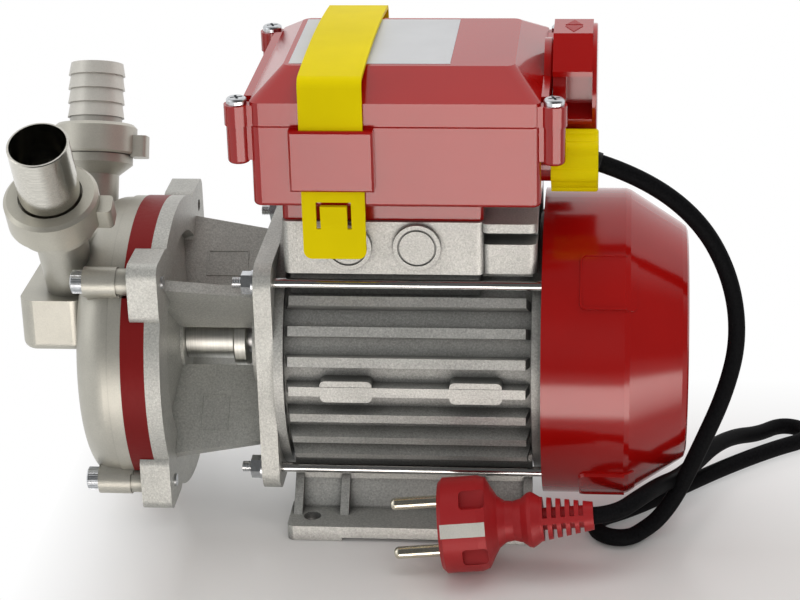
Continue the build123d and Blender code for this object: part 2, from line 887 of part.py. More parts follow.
def impeller():
    """Open vane impeller for the self-priming head."""
    x0 = ring_front_x + impeller_side_gap
    x1 = bracket_front_x - impeller_side_gap
    middle = (x0 + x1) / 2
    body = rod_x(impeller_r - 10, middle - 1.2, middle + 1.2)
    body = body + rod_x(impeller_hub_r, x0, x1)
    for index in range(impeller_blades):
        angle = index * 360 / impeller_blades
        body = body + radial_plate(impeller_r - 17, impeller_r, 2.4, x0, x1, angle)
    body = body - rod_x(shaft_front_r - 1, x0 - 1, x1 + 1)
    return body - impeller_key_slot(0.02)


def impeller_key():
    """Parallel key of the impeller."""
    return impeller_key_slot(0.0)


def impeller_nut():
    """Nut that holds the impeller on the shaft."""
    x1 = ring_front_x + impeller_side_gap
    outline = Pos(0, axis_z) * RegularPolygon(impeller_nut_flats / math.sqrt(3), 6)
    nut = plate_x(outline, x1 - impeller_nut_thick, x1)
    return nut - rod_x(shaft_thread_r, x1 - impeller_nut_thick - 1, x1 + 1)


def seal_seat():
    """Fixed ring of the shaft seal, at the bottom of its bore."""
    x1 = hub_rear_x - 1.6
    return ring_x(seal_bore_r - 0.02, shaft_front_r + 1.5, x1 - seal_seat_thick, x1)


def seal_head():
    """Turning part of the shaft seal with its bellows."""
    x0 = bracket_front_x - impeller_side_gap + 0.05
    x1 = hub_rear_x - 1.6 - seal_seat_thick - 0.05
    points = [
        (x0, shaft_front_r),
        (x0, seal_head_r - 2),
        (x0 + 1.5, seal_head_r),
        (x0 + 3, seal_head_r - 1.5),
        (x1 - 2.5, seal_head_r - 1.5),
        (x1 - 2.5, seal_head_r - 0.3),
        (x1, seal_head_r - 0.3),
        (x1, shaft_front_r),
    ]
    return turned_x(points)


def shaft_sleeve():
    """Bright sleeve on the shaft in the bracket window."""
    x0 = hub_rear_x + 0.3
    return ring_x(sleeve_r, shaft_front_r, x0, x0 + sleeve_length)


def shaft_slinger():
    """Ring that throws drops off before they reach the bearing."""
    x0 = hub_rear_x + 0.3 + sleeve_length
    body = rod_x(slinger_r, x0, x0 + slinger_length)
    body = chamfer(body.edges().filter_by(GeomType.CIRCLE), 0.6)
    return body - rod_x(shaft_front_r, x0 - 1, x0 + slinger_length + 1)


def bearing(outer, bore, x0, width):
    """Ball bearing as a grooved ring, seen only when the motor is open."""
    body = ring_x(outer, bore, x0, x0 + width)
    middle = (outer + bore) / 2
    for x in (x0, x0 + width):
        body = body - ring_x(middle + 2.2, middle - 2.2, x - 0.8, x + 0.8)
    return body


def front_bearing():
    """Bearing in the lantern bracket."""
    return bearing(front_bearing_r, shaft_seat_r + running_gap, front_bearing_x, front_bearing_width)


def rear_bearing():
    """Bearing in the rear shield."""
    return bearing(rear_bearing_r, shaft_tail_r + running_gap, rear_bearing_x + 0.1, rear_bearing_width)


def rotor_core():
    """Cage rotor with its two short-circuit rings."""
    half = stator_length / 2
    outer = stator_bore_r - air_gap
    body = rod_x(outer, -half, half)
    body = body + rod_x(outer - 2.5, -half - rotor_ring_thick, half + rotor_ring_thick)
    return body - rod_x(shaft_core_r, -half - rotor_ring_thick - 1, half + rotor_ring_thick + 1)


def stator_core():
    """Laminated stack pressed into the frame."""
    half = stator_length / 2
    return ring_x(frame_bore_r, stator_bore_r, -half, half)


def stator_windings():
    """Winding heads at both ends of the stack."""
    half = stator_length / 2
    heads = []
    for side in (-1, 1):
        x0 = min(side * half, side * (half + winding_overhang))
        head = ring_x(winding_outer_r, winding_inner_r, x0, x0 + winding_overhang)
        heads.append(fillet(head.edges().filter_by(GeomType.CIRCLE), 1.8))
    return Compound(children=heads)


# Fan end

def rear_shield():
    """End shield with the rear bearing, whose rim centres the fan cover."""
    body = rod_x(shield_r, shield_front_x, shield_rear_x)
    boss_end = rear_bearing_x + rear_bearing_width + 2.5
    body = body + rod_x(shield_boss_r, shield_front_x, boss_end)
    body = body + rod_x(frame_bore_r - 0.1, shield_front_x - 3, shield_front_x + 1)
    for index in range(8):
        angle = 22.5 + index * 45
        rib = radial_plate(shield_boss_r - 1, shield_r - 14, 2.5, shield_rear_x - 1, boss_end - 2, angle)
        body = body + rib
    body = body - rod_x(rear_bearing_r + 0.02, shield_front_x - 4, rear_bearing_x + rear_bearing_width + 0.2)
    body = body - rod_x(shaft_tail_r + 1, shield_front_x - 4, boss_end + 1)
    for y, z in rod_corners:
        body = body - rod_x(rod_r, shield_front_x - 4, shield_rear_x - rod_blind, y, z)
    return body


def tie_rods():
    """Four long rods screwed into the rear shield, with nuts on the bracket."""
    x0 = bracket_rear_x - rod_stud
    x1 = shield_rear_x - rod_blind
    return Compound(children=[rod_x(rod_r, x0, x1, y, z) for y, z in rod_corners])


def rod_washers():
    """Plain washers under the rod nuts."""
    x0 = bracket_rear_x - rod_washer_thick
    return Compound(children=[ring_x(rod_washer_r, rod_r, x0, bracket_rear_x, y, z) for y, z in rod_corners])


def rod_nuts():
    """Hexagon nuts on the front ends of the rods."""
    nuts = []
    x1 = bracket_rear_x - rod_washer_thick
    for y, z in rod_corners:
        hexagon = Pos(y, z) * RegularPolygon(rod_nut_flats / math.sqrt(3), 6)
        nut = plate_x(hexagon, x1 - rod_nut_thick, x1)
        nuts.append(nut - rod_x(rod_r, x1 - rod_nut_thick - 1, x1 + 1, y, z))
    return Compound(children=nuts)


def cooling_fan():
    """Radial fan on the shaft tail."""
    x0 = shield_rear_x + fan_start
    x1 = x0 + fan_width
    body = rod_x(fan_r - 6, x0, x0 + fan_disc_thick) + rod_x(fan_hub_r, x0, x1)
    for index in range(fan_blades):
        angle = index * 360 / fan_blades
        body = body + radial_plate(fan_hub_r - 1, fan_r, fan_blade_thick, x0, x1 - 1, angle)
    return body - rod_x(shaft_tail_r, x0 - 1, x1 + 1)


def cover_pad(angle):
    """Shallow panel that follows the cover's outside over one tie rod."""
    x0 = frame_rear_x + cover_pad_start
    half = cover_pad_width / 2
    pad = span_box(x0, x0 + cover_pad_length, -cover_r - 4, -cover_r + 12, -half, half)
    pad = fillet(pad.edges().filter_by(Axis.Y), 2.5)
    pad = Pos(0, 0, axis_z) * Rot(-angle, 0, 0) * pad
    skin = turned_x(
        [
            (x0 - 1, 0),
            (x0 - 1, cover_r + cover_pad_proud),
            (cover_cone_x - 1.0, cover_r + cover_pad_proud),
            (cover_cone_x + 1.0, cover_r + cover_pad_proud - 0.7),
            (cover_end_x, cover_rear_r + cover_pad_proud),
            (cover_end_x, 0),
        ]
    )
    return pad & skin


def fan_cover():
    """Moulded cover with a tapered end and a ring grille."""
    inner = cover_r - cover_wall
    x0 = frame_rear_x
    outline = [
        (x0, inner),
        (x0, cover_r),
        (cover_cone_x - 1.0, cover_r),
        (cover_cone_x + 1.0, cover_r - 0.7),
        (cover_end_x - 2.5, cover_rear_r + 1.6),
        (cover_end_x - 0.7, cover_rear_r + 0.2),
        (cover_end_x, cover_rear_r - 1.5),
        (cover_end_x, 0),
        (cover_end_x - cover_wall, 0),
        (cover_end_x - cover_wall, cover_rear_r - 2.5),
        (cover_cone_x, inner),
    ]
    shell = turned_x(outline)
    end = cover_end_x - cover_wall
    hollow = [(x0 - 1, 0), (x0 - 1, inner), (cover_cone_x, inner), (end, cover_rear_r - 2.5), (end, 0)]
    inside = turned_x(hollow)
    for angle in (45, 135, 225, 315):
        shell = shell + (cover_pad(angle) - inside)
    pitch = (cover_rear_r - 5 - grille_hub_r) / grille_rings
    slots = []
    for index in range(grille_rings):
        low = grille_hub_r + index * pitch
        slots.append(ring_x(low + grille_slot, low, cover_end_x - cover_wall - 1, cover_end_x + 1))
    spokes = []
    for index in range(grille_spokes):
        angle = 30 + index * 360 / grille_spokes
        spokes.append(radial_plate(0, cover_rear_r, 3.4, cover_end_x - 9, cover_end_x + 2, angle))
    holes = fuse(slots)
    for spoke in spokes:
        holes = holes - spoke
    return shell - holes


# Switch and terminal box

def rounded_block(x0, x1, y0, y1, z0, z1, radius):
    """Upright block with rounded vertical corners."""
    outline = Pos((x0 + x1) / 2, (y0 + y1) / 2) * RectangleRounded(x1 - x0, y1 - y0, radius)
    return extrude(Plane.XY.offset(z0) * outline, z1 - z0)


box_corners = [
    (box_centre_x + sx * corner_boss_offset_x, sy * corner_boss_offset_y) for sx, sy in quadrants
]
guide_inner_y = box_front_y - strap_wall_gap - strap_thick - strap_gap
guide_outer_y = guide_inner_y - guide_wall


def corner_boss(x, y, radius, z0, z1, nose):
    """Round screw boss at a box corner, joined to the end wall."""
    boss = Pos(x, y, (z0 + z1) / 2) * Cylinder(radius, z1 - z0)
    if nose > 0:
        boss = fillet(boss.edges().group_by(Axis.Z)[0], nose)
        z0 = z0 + nose
    inward = math.copysign(1, box_centre_x - x)
    far = x + inward * (corner_boss_r + 2)
    web = span_box(min(x, far), max(x, far), y - radius + 2.2, y + radius - 2.2, z0, z1)
    return boss + web


def strap_guide(side):
    """Pocket on the front or back wall that the strap slides in."""
    half = strap_width / 2 + strap_gap
    x0 = strap_x - half - guide_cheek
    x1 = strap_x + half + guide_cheek
    block = span_box(x0, x1, guide_outer_y, box_front_y + 0.5, guide_bottom_z, guide_top_z)
    block = chamfer(block.edges().group_by(Axis.Y)[0], 0.8)
    low = guide_bottom_z - 1
    slot = span_box(strap_x - half, strap_x + half, guide_inner_y, box_front_y, low, guide_top_z + 1)
    guide = block - slot
    if side > 0:
        guide = Rot(0, 0, 180) * (Pos(-2 * strap_x, 0, 0) * guide)
    return guide


def box_base():
    """Lower half of the box with collar, screw bosses, strap guides and gland stub."""
    body = rounded_block(box_x0, box_x1, box_front_y, box_back_y, box_floor_z, box_seam_z, box_corner_r)
    body = fillet(body.edges().group_by(Axis.Z)[0], 1.6)
    body = chamfer(body.edges().group_by(Axis.Z)[-1], seam_bevel)
    half = pad_width / 2 - box_collar_inset
    body = body + rounded_block(pad_x0, pad_x1, -half, half, pad_top_z, box_floor_z + 1, 2.5)
    for x, y in box_corners:
        low = box_seam_z - corner_boss_drop
        body = body + corner_boss(x, y, corner_boss_r - corner_step, low, box_seam_z, corner_nose)
    for side in (-1, 1):
        body = body + strap_guide(side)
    stub_end = box_x1 + gland_stub_length + gland_thread
    body = body + rod_x(gland_stub_r, box_x1 - 1, stub_end, gland_y, gland_z)
    body = body - rounded_block(
        box_x0 + box_wall,
        box_x1 - box_wall,
        box_front_y + box_wall,
        box_back_y - box_wall,
        box_floor_z + box_floor,
        box_seam_z + 1,
        1.5,
    )
    body = body - Pos(wire_hole_x, 0, pad_top_z) * Cylinder(wire_hole_r, 40)
    body = body - rod_x(gland_bore_r, box_x1 - 5, stub_end + 1, gland_y, gland_z)
    body = body - rod_x(bushing_r, box_x1 - 10, box_x1 + 1, 0, switch_z)
    for x, y in box_corners:
        body = body - Pos(x, y, box_seam_z) * Cylinder(lid_screw_r, 2 * (lid_screw_length - lid_boss_height))
    return body


def lid_slope(inset, z0, z1):
    """Four-sided body between the lid's skirt and its flat top."""
    low = RectangleRounded(box_length - 2 * inset, box_width - 2 * inset, 3.5)
    top = RectangleRounded(lid_top_length - 1.6 * inset, lid_top_width - 1.6 * inset, 3.5)
    return loft([Pos(box_centre_x, 0, z0) * low, Pos(lid_top_x, 0, z1) * top], ruled=True)


def box_lid():
    """Lid with sloping sides, screw bosses and a lip at each end."""
    shell = rounded_block(
        box_x0,
        box_x1,
        box_front_y,
        box_back_y,
        box_seam_z,
        lid_skirt_top_z,
        box_corner_r,
    )
    shell = chamfer(shell.edges().group_by(Axis.Z)[0], seam_bevel)
    shell = shell + lid_slope(0, lid_skirt_top_z, lid_top_z)
    for x, y in box_corners:
        top = box_seam_z + lid_boss_height
        shell = shell + corner_boss(x, y, corner_boss_r, box_seam_z, top, 0)
    for x0, x1 in ((box_x0 - lid_lip_reach, box_x0 + 1), (box_x1 - 1, box_x1 + lid_lip_reach - 0.4)):
        low = lid_skirt_top_z - lid_lip_height
        lip = span_box(x0, x1, -lid_lip_half, lid_lip_half, low, lid_skirt_top_z)
        shell = shell + lip
    inner = rounded_block(
        box_x0 + box_wall,
        box_x1 - box_wall,
        box_front_y + box_wall,
        box_back_y - box_wall,
        box_seam_z - 1,
        lid_skirt_top_z - 1.2,
        1.5,
    )
    shell = shell - inner - lid_slope(box_wall, lid_skirt_top_z - 1.3, lid_top_z - lid_top_thick)
    shell = shell - gasket_ring(gasket_gap)
    shell = shell - rod_x(bushing_r, box_x1 - 10, box_x1 + 10, 0, switch_z)
    shell = shell - rod_x(switch_plate_r + 0.3, box_x1, box_x1 + 10, 0, switch_z)
    for x, y in box_corners:
        shell = shell - Pos(x, y, box_seam_z) * Cylinder(lid_screw_r + 0.2, 40)
    return shell


def gasket_ring(gap):
    """Band round the seam, inside the lid's wall."""
    edge = (box_wall - gasket_width) / 2
    outer = rounded_block(
        box_x0 + edge - gap,
        box_x1 - edge + gap,
        box_front_y + edge - gap,
        box_back_y - edge + gap,
        box_seam_z,
        box_seam_z + gasket_height,
        2.4,
    )
    far = edge + gasket_width
    inner = rounded_block(
        box_x0 + far + gap,
        box_x1 - far - gap,
        box_front_y + far + gap,
        box_back_y - far - gap,
        box_seam_z - 1,
        box_seam_z + gasket_height + 1,
        1.6,
    )
    return outer - inner


def lid_gasket():
    """Seal between box and lid, left open where the switch passes."""
    return gasket_ring(0.0) - rod_x(bushing_r, box_x1 - 10, box_x1 + 1, 0, switch_z)


def lid_screws():
    """Four cross-slotted pan screws that hold the lid."""
    screws = []
    top = box_seam_z + lid_boss_height
    for x, y in box_corners:
        head = Pos(x, y, top + lid_screw_head / 2) * Cylinder(lid_screw_head_r, lid_screw_head)
        head = fillet(head.edges().group_by(Axis.Z)[-1], 1.2)
        length = lid_screw_length + 0.5
        shank = Cylinder(lid_screw_r, length, align=(Align.CENTER, Align.CENTER, Align.MAX))
        shank = Pos(x, y, top + 0.5) * shank
        cross = Box(4.6, 1.0, 3.0) + Box(1.0, 4.6, 3.0)
        screws.append(head + shank - Pos(x, y, top + lid_screw_head) * Rot(0, 0, 20) * cross)
    return Compound(children=screws)


# Carry strap

def strap_profile(offset):
    """Inverted U of the strap in (y, z), pulled in by an offset."""
    half = strap_outer_y - offset
    fold = strap_fold_z - offset
    back = strap_back_fold_z - offset
    foot = strap_bottom_z - offset
    side = Polyline((-half, fold), (-half, foot), (half, foot), (half, back))
    arch = ThreePointArc((half, back), (0, strap_crown_z - offset), (-half, fold))
    return make_face([side, arch])


def carry_strap():
    """Flat plastic strap that slides in the guides and locks with a tongue."""
    x0 = strap_x - strap_width / 2
    x1 = strap_x + strap_width / 2
    outer = plate_x(strap_profile(0.0), x0, x1)
    outer = fillet(outer.edges().filter_by(Axis.X).sort_by(Axis.Z)[-2:], strap_bend_r + strap_thick)
    inner = plate_x(strap_profile(strap_thick), x0 - 1, x1 + 1)
    inner = fillet(inner.edges().filter_by(Axis.X).sort_by(Axis.Z)[-2:], strap_bend_r)
    clear_y = strap_outer_y - strap_thick
    body = outer - inner - span_box(x0 - 1, x1 + 1, -clear_y, clear_y, 100, 140)
    corners = body.edges().filter_by(Axis.Y).group_by(Axis.Z)[0]
    body = fillet(corners, strap_corner_r)
    wide = tongue_width / 2 + tongue_slot
    for side in (-1, 1):
        wall = side * (strap_outer_y - strap_thick / 2)
        slot_z = tongue_top_z + tongue_slot
        half = tongue_width / 2
        cut = span_box(strap_x - wide, strap_x + wide, wall - 2, wall + 2, tongue_low_z, slot_z)
        keep = span_box(strap_x - half, strap_x + half, wall - 3, wall + 3, 100, tongue_top_z)
        body = body - (cut - keep)
        face_y = side * strap_outer_y
        wedge = make_face(
            Polyline(
                (face_y - side * 0.4, tongue_low_z + 1),
                (face_y, tongue_low_z + 1),
                (face_y + side * tongue_step, tongue_top_z),
                (face_y - side * 0.4, tongue_top_z),
                close=True,
            )
        )
        body = body + plate_x(wedge, strap_x - half, strap_x + half)
    return body


# Reversing switch

def switch_plate():
    """Round plate between the box end and the knob."""
    x0 = box_x1
    plate = rod_x(switch_plate_r, x0, x0 + switch_plate_thick, 0, switch_z)
    plate = chamfer(plate.edges().group_by(Axis.X)[-1], 0.6)
    return plate - rod_x(bushing_r, x0 - 1, x0 + switch_plate_thick + 1, 0, switch_z)


def switch_body():
    """Changeover switch inside the box, with its bushing through the wall."""
    x1 = box_x1 - box_wall
    half = switch_body_side / 2
    x0 = x1 - switch_body_length
    body = span_box(x0, x1, -half, half, switch_z - switch_body_drop, switch_z + bushing_r)
    body = body + rod_x(bushing_r, x1 - 1, box_x1 + switch_plate_thick - 0.4, 0, switch_z)
    for index in range(3):
        y = (index - 1) * 8
        tag = span_box(x0 - 5, x0 + 1, y - 2.4, y + 2.4, 160, 160.8)
        body = body + tag
    return body - rod_x(spindle_r + running_gap, x1 - 8, box_x1 + 10, 0, switch_z)


def switch_spindle():
    """Spindle from the switch into the knob."""
    return rod_x(spindle_r, box_x1 - box_wall - 7.5, knob_x0 + knob_grip_thick - 4, 0, switch_z)


def knob_outline():
    """Half-turn symmetric outline of the grip in (y, z)."""
    right = [
        (knob_top_half, knob_flat_r),
        (knob_side_half, knob_side_drop),
        (knob_side_half, knob_side_drop - 2.0),
        (knob_neck_half, 6.0),
    ]
    left = [(-y, z) for y, z in reversed(right)]
    upper = left + right
    lower = [(-y, -z) for y, z in upper]
    return upper + lower


def switch_knob():
    """Winged knob with a hub disc behind and a thin front disc."""
    points = [(y, switch_z + z) for y, z in knob_outline()]
    grip = plate_x(make_face(Polyline(*points, close=True)), knob_x0, knob_x0 + knob_grip_thick)
    hub = rod_x(knob_hub_r, knob_x0, knob_x0 + knob_hub_thick, 0, switch_z)
    x1 = knob_x0 + knob_grip_thick
    rim = rod_x(knob_rim_r, x1 - 0.01, x1 + knob_rim_thick, 0, switch_z)
    rim = fillet(rim.edges().group_by(Axis.X)[-1], 0.6)
    knob = grip + hub + rim
    return knob - rod_x(spindle_r, knob_x0 - 1, x1 - 4, 0, switch_z)


# Cable gland, cord and plug

def cable_gland_nut():
    """Lobed nut that squeezes the grommet on the cord."""
    x0 = box_x1 + gland_stub_length
    x1 = x0 + gland_nut_length
    rounds = [rod_x(gland_nut_r - 1.2, x0, x1, gland_y, gland_z)]
    for index in range(gland_lobes):
        turn = math.radians(index * 360 / gland_lobes + 15)
        reach = gland_nut_r - gland_lobe_r
        y = gland_y + reach * math.cos(turn)
        z = gland_z + reach * math.sin(turn)
        rounds.append(rod_x(gland_lobe_r, x0, x1, y, z))
    body = fuse([chamfer(piece.edges().group_by(Axis.X)[-1], 0.7) for piece in rounds])
    thread = box_x1 + gland_stub_length + gland_thread + 0.4
    body = body - rod_x(gland_stub_r + thread_gap, x0 - 1, thread, gland_y, gland_z)
    return body - rod_x(gland_mouth_r, x0 - 1, x1 + 1, gland_y, gland_z)


def unit(vector):
    """Vector of length one."""
    size = math.sqrt(sum(value * value for value in vector))
    return tuple(value / size for value in vector)


def bar_between(radius, start, end):
    """Round bar between two points."""
    middle = Plane(origin=start, z_dir=tuple(b - a for a, b in zip(start, end)))
    return extrude(middle * Circle(radius), math.dist(start, end))


def gland_grommet():
    """Rubber grommet whose snout follows the cord out of the nut."""
    start = cord_route[0]
    run = unit(tuple(b - a for a, b in zip(cord_route[0], cord_route[1])))
    root = tuple(value - 7 * step for value, step in zip(start, run))
    end = box_x1 + gland_stub_length + gland_thread
    plug = rod_x(gland_bore_r - 0.1, end - 8, end, gland_y, gland_z)
    plug = plug + rod_x(gland_mouth_r - 0.4, end - 2, root[0] + 1, gland_y, gland_z)
    return plug + bar_between(cord_r + 0.6, root, start)


def cord_radii(points):
    """Bend radius for every corner of the cord's route."""
    radii = []
    for before, corner, after in zip(points, points[1:], points[2:]):
        first = math.dist(before, corner)
        second = math.dist(corner, after)
        a = unit(tuple(q - p for p, q in zip(before, corner)))
        b = unit(tuple(q - p for p, q in zip(corner, after)))
        turn = math.acos(max(-1.0, min(1.0, sum(p * q for p, q in zip(a, b)))))
        radii.append(0.45 * min(first, second) / math.tan(turn / 2))
    return radii


def power_cord():
    """Cord from the gland to the plug, as straight runs joined by arcs."""
    radii = cord_radii(cord_route)
    path = FilletPolyline(*cord_route, radius=radii)
    tube = sweep((path ^ 0) * Circle(cord_r), path=path)
    print("cord length", round(path.length, 1), "radii", [round(radius, 1) for radius in radii])
    section = math.pi * cord_r**2
    print("cord volume", round(tube.volume, 1), "section by length", round(section * path.length, 1))
    return tube


def in_plug(shape):
    """Place a piece drawn about the plug's own axis, front face at zero, tail along +X."""
    turned = Rot(0, -plug_tilt, plug_yaw) * Rot(-plug_roll, 0, 0)
    return Pos(plug_x, plug_y, plug_z) * turned * shape


def plug_body():
    """Moulded plug with grip pockets, flare and ribbed relief."""
    points = [
        (0, 0),
        (0, plug_r - 1.6),
        (1.6, plug_r),
        (plug_face_thick, plug_r),
        (plug_face_thick + 3.0, plug_r - 1.0),
        (plug_face_thick + 5.0, plug_neck_r + 6.0),
        (plug_face_thick + 7.2, plug_neck_r + 2.4),
        (plug_face_thick + 10.0, plug_neck_r + 0.4),
        (plug_face_thick + 13.0, plug_neck_r),
        (plug_flare_x - 3.4, plug_neck_r + 0.8),
        (plug_flare_x - 0.9, plug_flare_r - 0.4),
        (plug_flare_x + 0.6, plug_flare_r),
        (plug_flare_x + 2, plug_flare_r - 0.8),
        (plug_relief_x, plug_relief_r),
        (plug_tail_x, plug_relief_end_r),
        (plug_tail_x, 0),
    ]
    body = turned_x(points, 0, 0)
    for side in (-1, 1):
        y0 = side * (plug_r - earth_thick)
        near, far = sorted((y0, side * 30))
        slot = span_box(1.0, earth_length + 1.0, near, far, -earth_half, earth_half)
        body = body - slot
        near, far = sorted((side * 10.5, side * 20))
        for low in (-14.2, 7.7):
            pocket = span_box(8.6, 18.2, near, far, low, low + 6.5)
            body = body - fillet(pocket.edges().filter_by(Axis.Y), 1.5)
    pitch = (plug_tail_x - plug_relief_x - 3) / relief_ribs
    for index in range(relief_ribs):
        x0 = plug_relief_x + 1 + index * pitch
        groove = span_box(x0, x0 + pitch * 0.5, -12, 12, -12, 12)
        groove = groove - span_box(x0 - 1, x0 + pitch, -12, 12, -1.2, 1.2)
        core = rod_x(cord_r + 0.9, x0 - 1, x0 + pitch, 0, 0)
        body = body - (groove - core)
    for side in (-1, 1):
        body = body - rod_x(pin_r, -1, 8, 0, side * pin_pitch / 2)
    return in_plug(body)


def plug_pins():
    """Two contact pins with rounded tips."""
    pins = []
    for side in (-1, 1):
        pin = rod_x(pin_r, -pin_length, 8, 0, side * pin_pitch / 2)
        pins.append(fillet(pin.edges().group_by(Axis.X)[0], pin_r - 0.5))
    return in_plug(Compound(children=pins))


def plug_earth_clips():
    """Earth contact strips in the two sides of the plug."""
    strips = []
    for side in (-1, 1):
        y0 = side * (plug_r - earth_thick)
        y1 = side * (plug_r - 0.1)
        near, far = sorted((y0, y1))
        strips.append(span_box(1.0, earth_length + 1.0, near, far, -earth_half, earth_half))
    return in_plug(Compound(children=strips))


# Parts inside the box

def capacitor():
    """Run capacitor lying on the box floor."""
    z = box_floor_z + box_floor + capacitor_r
    body = rod_x(capacitor_r, capacitor_x0, capacitor_x0 + capacitor_length, capacitor_y, z)
    return chamfer(body.edges().filter_by(GeomType.CIRCLE), 0.8)


def terminal_block():
    """Terminal strip beside the capacitor."""
    z0 = box_floor_z + box_floor
    x0 = terminal_x0
    y1 = terminal_y0 + terminal_width
    body = span_box(x0, x0 + terminal_length, terminal_y0, y1, z0, z0 + terminal_height)
    count = 5
    for index in range(count):
        x = x0 + (index + 0.5) * terminal_length / count
        body = body - Pos(x, terminal_y0 + terminal_width / 2, z0 + terminal_height) * Cylinder(2.4, 10)
    return body


nodes = {
    "pump_casing": pump_casing(),
    "casing_o_ring": casing_o_ring(),
    "port_plate": port_plate(),
    "spacer_ring": spacer_ring(),
    "casing_screws": head_screws(),
    "inlet_pipe": inlet_pipe(),
    "inlet_gasket": port_gasket(-1),
    "inlet_union_nut": union_nut(-1, inlet_nut_r),
    "outlet_barb": outlet_barb(),
    "outlet_gasket": port_gasket(1),
    "outlet_union_nut": union_nut(1, nut_r),
    "lantern_bracket": lantern_bracket(),
    "seal_seat": seal_seat(),
    "front_bearing": front_bearing(),
    "motor_frame": motor_frame(),
    "stator_core": stator_core(),
    "stator_windings": stator_windings(),
    "rear_shield": rear_shield(),
    "rear_bearing": rear_bearing(),
    "tie_rods": tie_rods(),
    "tie_rod_washers": rod_washers(),
    "tie_rod_nuts": rod_nuts(),
    "fan_cover": fan_cover(),
    "motor_shaft": motor_shaft(),
    "shaft_sleeve": shaft_sleeve(),
    "shaft_slinger": shaft_slinger(),
    "rotor_core": rotor_core(),
    "impeller": impeller(),
    "impeller_key": impeller_key(),
    "impeller_nut": impeller_nut(),
    "seal_head": seal_head(),
    "cooling_fan": cooling_fan(),
    "box_base": box_base(),
    "box_lid": box_lid(),
    "lid_gasket": lid_gasket(),
    "lid_screws": lid_screws(),
    "capacitor": capacitor(),
    "terminal_block": terminal_block(),
    "carry_strap": carry_strap(),
    "switch_plate": switch_plate(),
    "switch_body": switch_body(),
    "switch_spindle": switch_spindle(),
    "switch_knob": switch_knob(),
    "cable_gland_nut": cable_gland_nut(),
    "gland_grommet": gland_grommet(),
    "power_cord": power_cord(),
    "plug_body": plug_body(),
    "plug_pins": plug_pins(),
    "plug_earth_clips": plug_earth_clips(),
}

os.makedirs("parts", exist_ok=True)
for name, shape in nodes.items():
    export_step(shape, "parts/" + name + ".step")
    print(name, len(shape.solids()), round(shape.volume, 1))
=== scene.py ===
"""Looks for an electric transfer pump: finishes, cord, small fittings, studio and camera."""

from __future__ import annotations

import logging
import math
from dataclasses import dataclass, field
from enum import Enum
from typing import Sequence

import bmesh
import bpy
from mathutils import Matrix, Vector

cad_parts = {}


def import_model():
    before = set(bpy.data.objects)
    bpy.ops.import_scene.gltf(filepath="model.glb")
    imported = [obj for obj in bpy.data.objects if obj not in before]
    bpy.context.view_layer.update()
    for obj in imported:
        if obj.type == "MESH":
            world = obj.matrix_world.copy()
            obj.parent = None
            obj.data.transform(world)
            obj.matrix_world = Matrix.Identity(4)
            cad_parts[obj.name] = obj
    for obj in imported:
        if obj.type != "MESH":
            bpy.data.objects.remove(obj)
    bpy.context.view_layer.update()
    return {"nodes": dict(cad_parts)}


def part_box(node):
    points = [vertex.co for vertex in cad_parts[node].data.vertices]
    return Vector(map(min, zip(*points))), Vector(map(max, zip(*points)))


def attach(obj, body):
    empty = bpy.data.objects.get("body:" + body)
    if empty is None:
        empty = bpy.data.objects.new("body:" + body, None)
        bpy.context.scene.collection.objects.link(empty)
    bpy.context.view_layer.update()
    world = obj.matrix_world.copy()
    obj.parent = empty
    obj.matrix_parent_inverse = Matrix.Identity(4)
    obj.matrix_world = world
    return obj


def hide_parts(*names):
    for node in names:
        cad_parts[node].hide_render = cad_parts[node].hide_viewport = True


log = logging.getLogger("transfer_pump")

MM = 0.001
Point = tuple[float, float, float]


class Body(Enum):
    """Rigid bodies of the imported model."""

    PUMP = "pump"
    ROTOR = "rotor"
    SWITCH = "switch"
    STRAP = "strap"


class Lay(Enum):
    """Direction of the machining marks on a metal."""

    ALONG_X = (3.0, 260.0, 260.0)
    ALONG_Y = (260.0, 3.0, 260.0)
    ALONG_Z = (260.0, 260.0, 3.0)
    ROUND_X = (260.0, 3.0, 3.0)
    NONE = (60.0, 60.0, 60.0)


class Graph:
    """Small helper that builds a node tree by name."""

    def __init__(self, tree: bpy.types.NodeTree) -> None:
        """Keep the tree that the nodes go into."""
        self.tree = tree

    def node(
        self, kind: str, values: dict[str | int, object] | None = None, **settings: object
    ) -> bpy.types.Node:
        """Add one node.

        Args:
            kind: Blender's node type name.
            values: input socket name or index to its value.
            settings: attributes of the node itself.

        Returns:
            The new node.
        """
        made = self.tree.nodes.new(kind)
        for key, value in settings.items():
            setattr(made, key, value)
        for key, value in (values or {}).items():
            made.inputs[key].default_value = value
        return made

    def link(self, source: bpy.types.NodeSocket, target: bpy.types.NodeSocket) -> None:
        """Join an output to an input."""
        self.tree.links.new(source, target)

    def noise(
        self, vector: bpy.types.NodeSocket, scale: float, detail: float, rough: float = 0.5
    ) -> bpy.types.Node:
        """Add a noise texture that reads a vector."""
        made = self.node(
            "ShaderNodeTexNoise", {"Scale": scale, "Detail": detail, "Roughness": rough}
        )
        self.link(vector, made.inputs["Vector"])
        return made

    def ramp(
        self, factor: bpy.types.NodeSocket, stops: Sequence[tuple[float, Point]]
    ) -> bpy.types.Node:
        """Add a colour ramp with the given stops."""
        made = self.node("ShaderNodeValToRGB")
        for index, (place, colour) in enumerate(stops):
            stop = made.color_ramp.elements[index] if index < 2 else made.color_ramp.elements.new(
                place
            )
            stop.position = place
            stop.color = (*colour, 1.0)
        self.link(factor, made.inputs["Fac"])
        return made

    def remap(self, value: bpy.types.NodeSocket, low: float, high: float) -> bpy.types.Node:
        """Spread a value from 0..1 to low..high."""
        made = self.node("ShaderNodeMapRange", {"To Min": low, "To Max": high})
        self.link(value, made.inputs["Value"])
        return made


